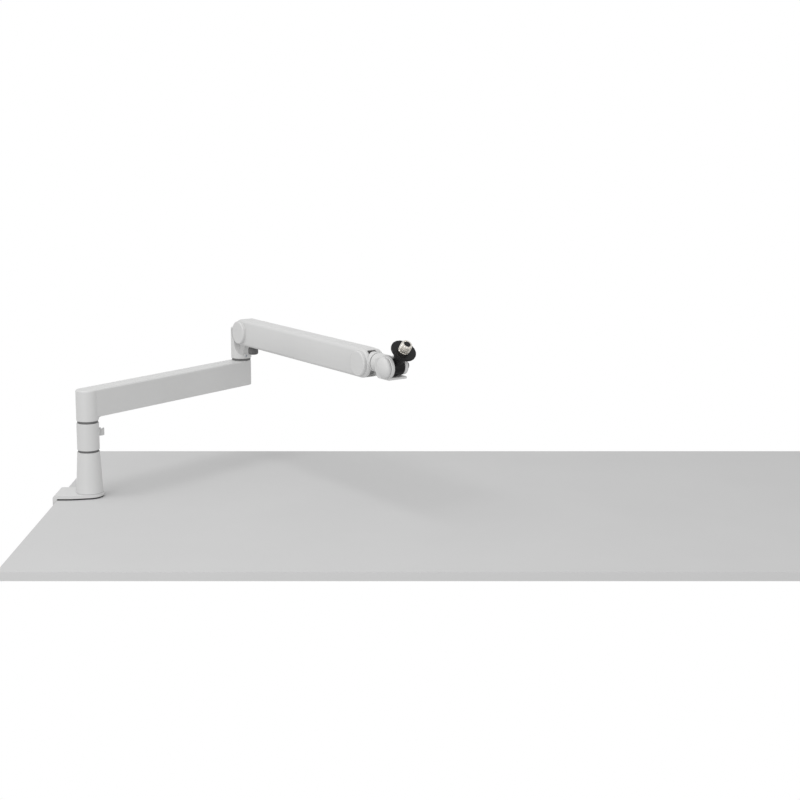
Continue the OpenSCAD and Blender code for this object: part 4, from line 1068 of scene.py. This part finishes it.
SLEEVE_R, THREAD_ROOT = 7.9375, 7.35
PITCH_MIC = 0.9407
GROOVE_Z, GROOVE_H = 33.8, 1.2
sleeve = turned([
    (CORE_R + FIT, STUD_BASE), (THREAD_ROOT, STUD_BASE), (THREAD_ROOT, GROOVE_Z), (6.85, GROOVE_Z),
    (6.85, GROOVE_Z + GROOVE_H), (THREAD_ROOT, GROOVE_Z + GROOVE_H), (THREAD_ROOT, STUD_TOP - 0.9),
    (6.8, STUD_TOP - 0.2), (CORE_R + FIT, STUD_TOP - 0.2),
], ring=True)
hidden_turns = helix(7.2, SLEEVE_R, PITCH_MIC, STUD_BASE + 0.2, 8)
thread = helix(7.2, SLEEVE_R, PITCH_MIC, GROOVE_Z + GROOVE_H + 0.1, 9)
cut(sleeve, block((-9, 9), (-0.8, 0.8), (STUD_TOP - 1.5, STUD_TOP + 1.5)))
finished(lay(merge([sleeve, hidden_turns, thread]), AT_STUD), "threaded_sleeve", NICKEL,
         "mic_lug", "steel", "thread_adapter", angle=30)

# %% [markdown]
# The lock ring is screwed up against the microphone to hold it. It flares like a cup, with
# notches round its rim for the fingers.

# %% Lock ring
LOCK_R, LOCK_Z, LOCK_H = 18, 26, 7.5
lock = turned([(SLEEVE_R + FIT, 0), (LOCK_R - 6, 0), (LOCK_R - 1.2, LOCK_H - 4),
               (LOCK_R, LOCK_H - 3), (LOCK_R, LOCK_H), (SLEEVE_R + FIT, LOCK_H)],
              shift(0, 0, LOCK_Z), ring=True, steps=144)
soften(lock, 0.6, 3)
cut(lock, flutes(2, LOCK_R + 1.4, LOCK_Z - 1, LOCK_Z + LOCK_H + 1, 18))
soften(lock, 0.2, 2, 50)
finished(lay(lock, AT_STUD), "lock_ring_notched", BLACK, "lock_ring", "black_metal", "lock_ring")

# %% [markdown]
# The clamp is one casting: a plate on the desk, a leg behind its edge and a jaw below. Its
# side view is drawn and given a width, and then trimmed by what is seen from above and from
# behind. All its edges are then rounded a little.

# %% Clamp casting
EDGE_X, LEG_X = -42.5, -48.5
PLATE_BOTTOM = 2
JAW_TOP, JAW_Z = -74, -83
SCREW_X, BUSH_R = -16.5, 8


def tab(x0, half, x1, r, cx):
    """A tab's outline: straight sides from x0 to x1, then tangents to a round tip at cx."""
    px, py = x1 - cx, half
    t = math.degrees(math.atan2(py, px) - math.acos(r / math.hypot(px, py)))
    return [(x0, -half), (x1, -half)] + arc(cx, 0, r, -t, t, 40) + [(x1, half), (x0, half)]


side = ([(22.5, PLATE_BOTTOM), (22.5, PLATE_TOP)]
        + arc(LEG_X + 3.5, PLATE_TOP - 3.5, 3.5, 90, 180)
        + arc(LEG_X + 5, JAW_Z + 5, 5, 180, 270)
        + [(-1.5, JAW_Z), (-1.5, JAW_TOP)]
        + arc(EDGE_X + 5, JAW_TOP + 5, 5, 270, 180) + [(EDGE_X, PLATE_BOTTOM)])
above = plate(tab(LEG_X - 1, 25.5, -22.5, 20.5, 0), -8, PLATE_TOP + 1)
leg = plate([(-25.5, -6), (-25.5, -8), (-17, -34), (-17, JAW_Z - 1), (17, JAW_Z - 1), (17, -34),
             (25.5, -8), (25.5, -6)], LEG_X - 1, LEG_X + 12, turn("Z", 90) @ turn("X", 90))
jaw = plate(tab(LEG_X - 1, 17, LEG_X + 10, 13, SCREW_X), JAW_Z - 1, JAW_TOP + 7)
add(above, leg, jaw)
clamp = trim(plate(side, -30.5, 30.5, FRONT), above)
soften(clamp, 0.9, 3, 30)
rib = plate([(EDGE_X - 1, JAW_TOP + 20), (EDGE_X - 1, JAW_TOP - 1), (SCREW_X - 12, JAW_TOP - 1)],
            -2.5, 2.5, FRONT)
add(clamp, rib)
sunk_hole = turned([(0, 1), (6.17, 1), (2.65, 4.45), (2.65, 7.5), (0, 7.5)], steps=32)
cut(clamp, rod(BUSH_R + FIT, JAW_Z - 1, JAW_TOP + 1, shift(SCREW_X, 0, 0), 64),
    repeated(sunk_hole, SCREW_PLACES))
finished(clamp, "clamp_casting", WHITE_BASE, "clamp_base", "white_steel", "clamp_frame")

# %% [markdown]
# Soft pads keep the desk from being scratched, one under the plate and one on the pressure
# disc. The disc turns freely on the screw's end, so it doesn't scrub as the knob is turned.

# %% Pads, disc and bush
pad = soften(plate(tab(EDGE_X + 0.5, 24.3, -22.5, 19.3, 0), 0, PLATE_BOTTOM), 0.35, 2)
finished(pad, "plate_pad", RUBBER, "clamp_base", "black_rubber", "top_pad")

AT_SCREW = shift(SCREW_X, 0, 0)
DISC_R, PAD_TOP, PAD_T = 18, -30, 2.5
disc_pad = turned([(0, PAD_TOP - PAD_T), (DISC_R - 0.5, PAD_TOP - PAD_T), (DISC_R - 0.5, PAD_TOP),
                   (0, PAD_TOP)], AT_SCREW)
finished(soften(disc_pad, 0.5), "disc_pad_round", RUBBER, "clamp_carriage", "black_rubber",
         "disc_pad")

HUB_BOTTOM, DISC_TOP, WELL_TOP = -43.5, PAD_TOP - PAD_T, -34.1
disc = turned([(0, DISC_TOP), (DISC_R, DISC_TOP), (DISC_R, DISC_TOP - 2), (17, DISC_TOP - 3),
               (9, HUB_BOTTOM + 6), (9, HUB_BOTTOM), (CLAMP_SCREW_R + FIT, HUB_BOTTOM),
               (CLAMP_SCREW_R + FIT, WELL_TOP), (0, WELL_TOP)], AT_SCREW)
finished(soften(disc, 0.6), "pressure_disc_turned", BLACK, "clamp_carriage", "black_metal",
         "pressure_disc")

bush = turned([(CLAMP_SCREW_R + FIT, JAW_Z - 2), (11, JAW_Z - 2), (11, JAW_Z), (BUSH_R, JAW_Z),
               (BUSH_R, JAW_TOP), (CLAMP_SCREW_R + FIT, JAW_TOP)], AT_SCREW, ring=True)
finished(soften(bush, 0.3, 2), "jaw_bush", STEEL, "clamp_base", "steel", "screw_bush")

# %% [markdown]
# The clamp screw is a coarse threaded rod with plain ends, and the hand knob has seven
# lobes, hollowed between for the fingers.

# %% Clamp screw and hand knob
SCREW_TOP, SCREW_END = -34.4, -118.4
core = turned([(0, SCREW_END), (4.35, SCREW_END), (4.35, -41), (CLAMP_SCREW_R, -40),
               (CLAMP_SCREW_R, SCREW_TOP - 1), (4, SCREW_TOP), (0, SCREW_TOP)])
coarse = helix(4.2, CLAMP_SCREW_R, 2, -116, 37, 32)
finished(lay(merge([core, coarse]), AT_SCREW), "clamp_screw_threaded", STEEL, "clamp_screw",
         "steel", "clamp_screw", angle=30)

KNOB_R, GRIP_H, KNOB_Z = 20, 13, -121.4
knob = turned([(0, 0)] + arc(KNOB_R - 4, 4, 4, -90, 0) + arc(KNOB_R - 3, GRIP_H - 3, 3, 0, 90)
              + [(10, GRIP_H), (9, GRIP_H + 5), (0, GRIP_H + 5)])
cut(knob, flutes(6.5, KNOB_R + 3.5, -1, GRIP_H + 1, 7))
soften(knob, 0.8, 3, 30)
cut(knob, rod(CLAMP_SCREW_R + FIT, 3, 20, AS_DRAWN, 48))
finished(lay(knob, AT_SCREW @ shift(0, 0, KNOB_Z)), "hand_knob_lobed", KNOB_GREY, "clamp_screw",
         "black_plastic", "hand_knob")

# %% [markdown]
# The view transform is Standard, so that a colour comes out about as it is written.

# %% Colour
clear()
bpy.context.scene.view_settings.view_transform = "Standard"
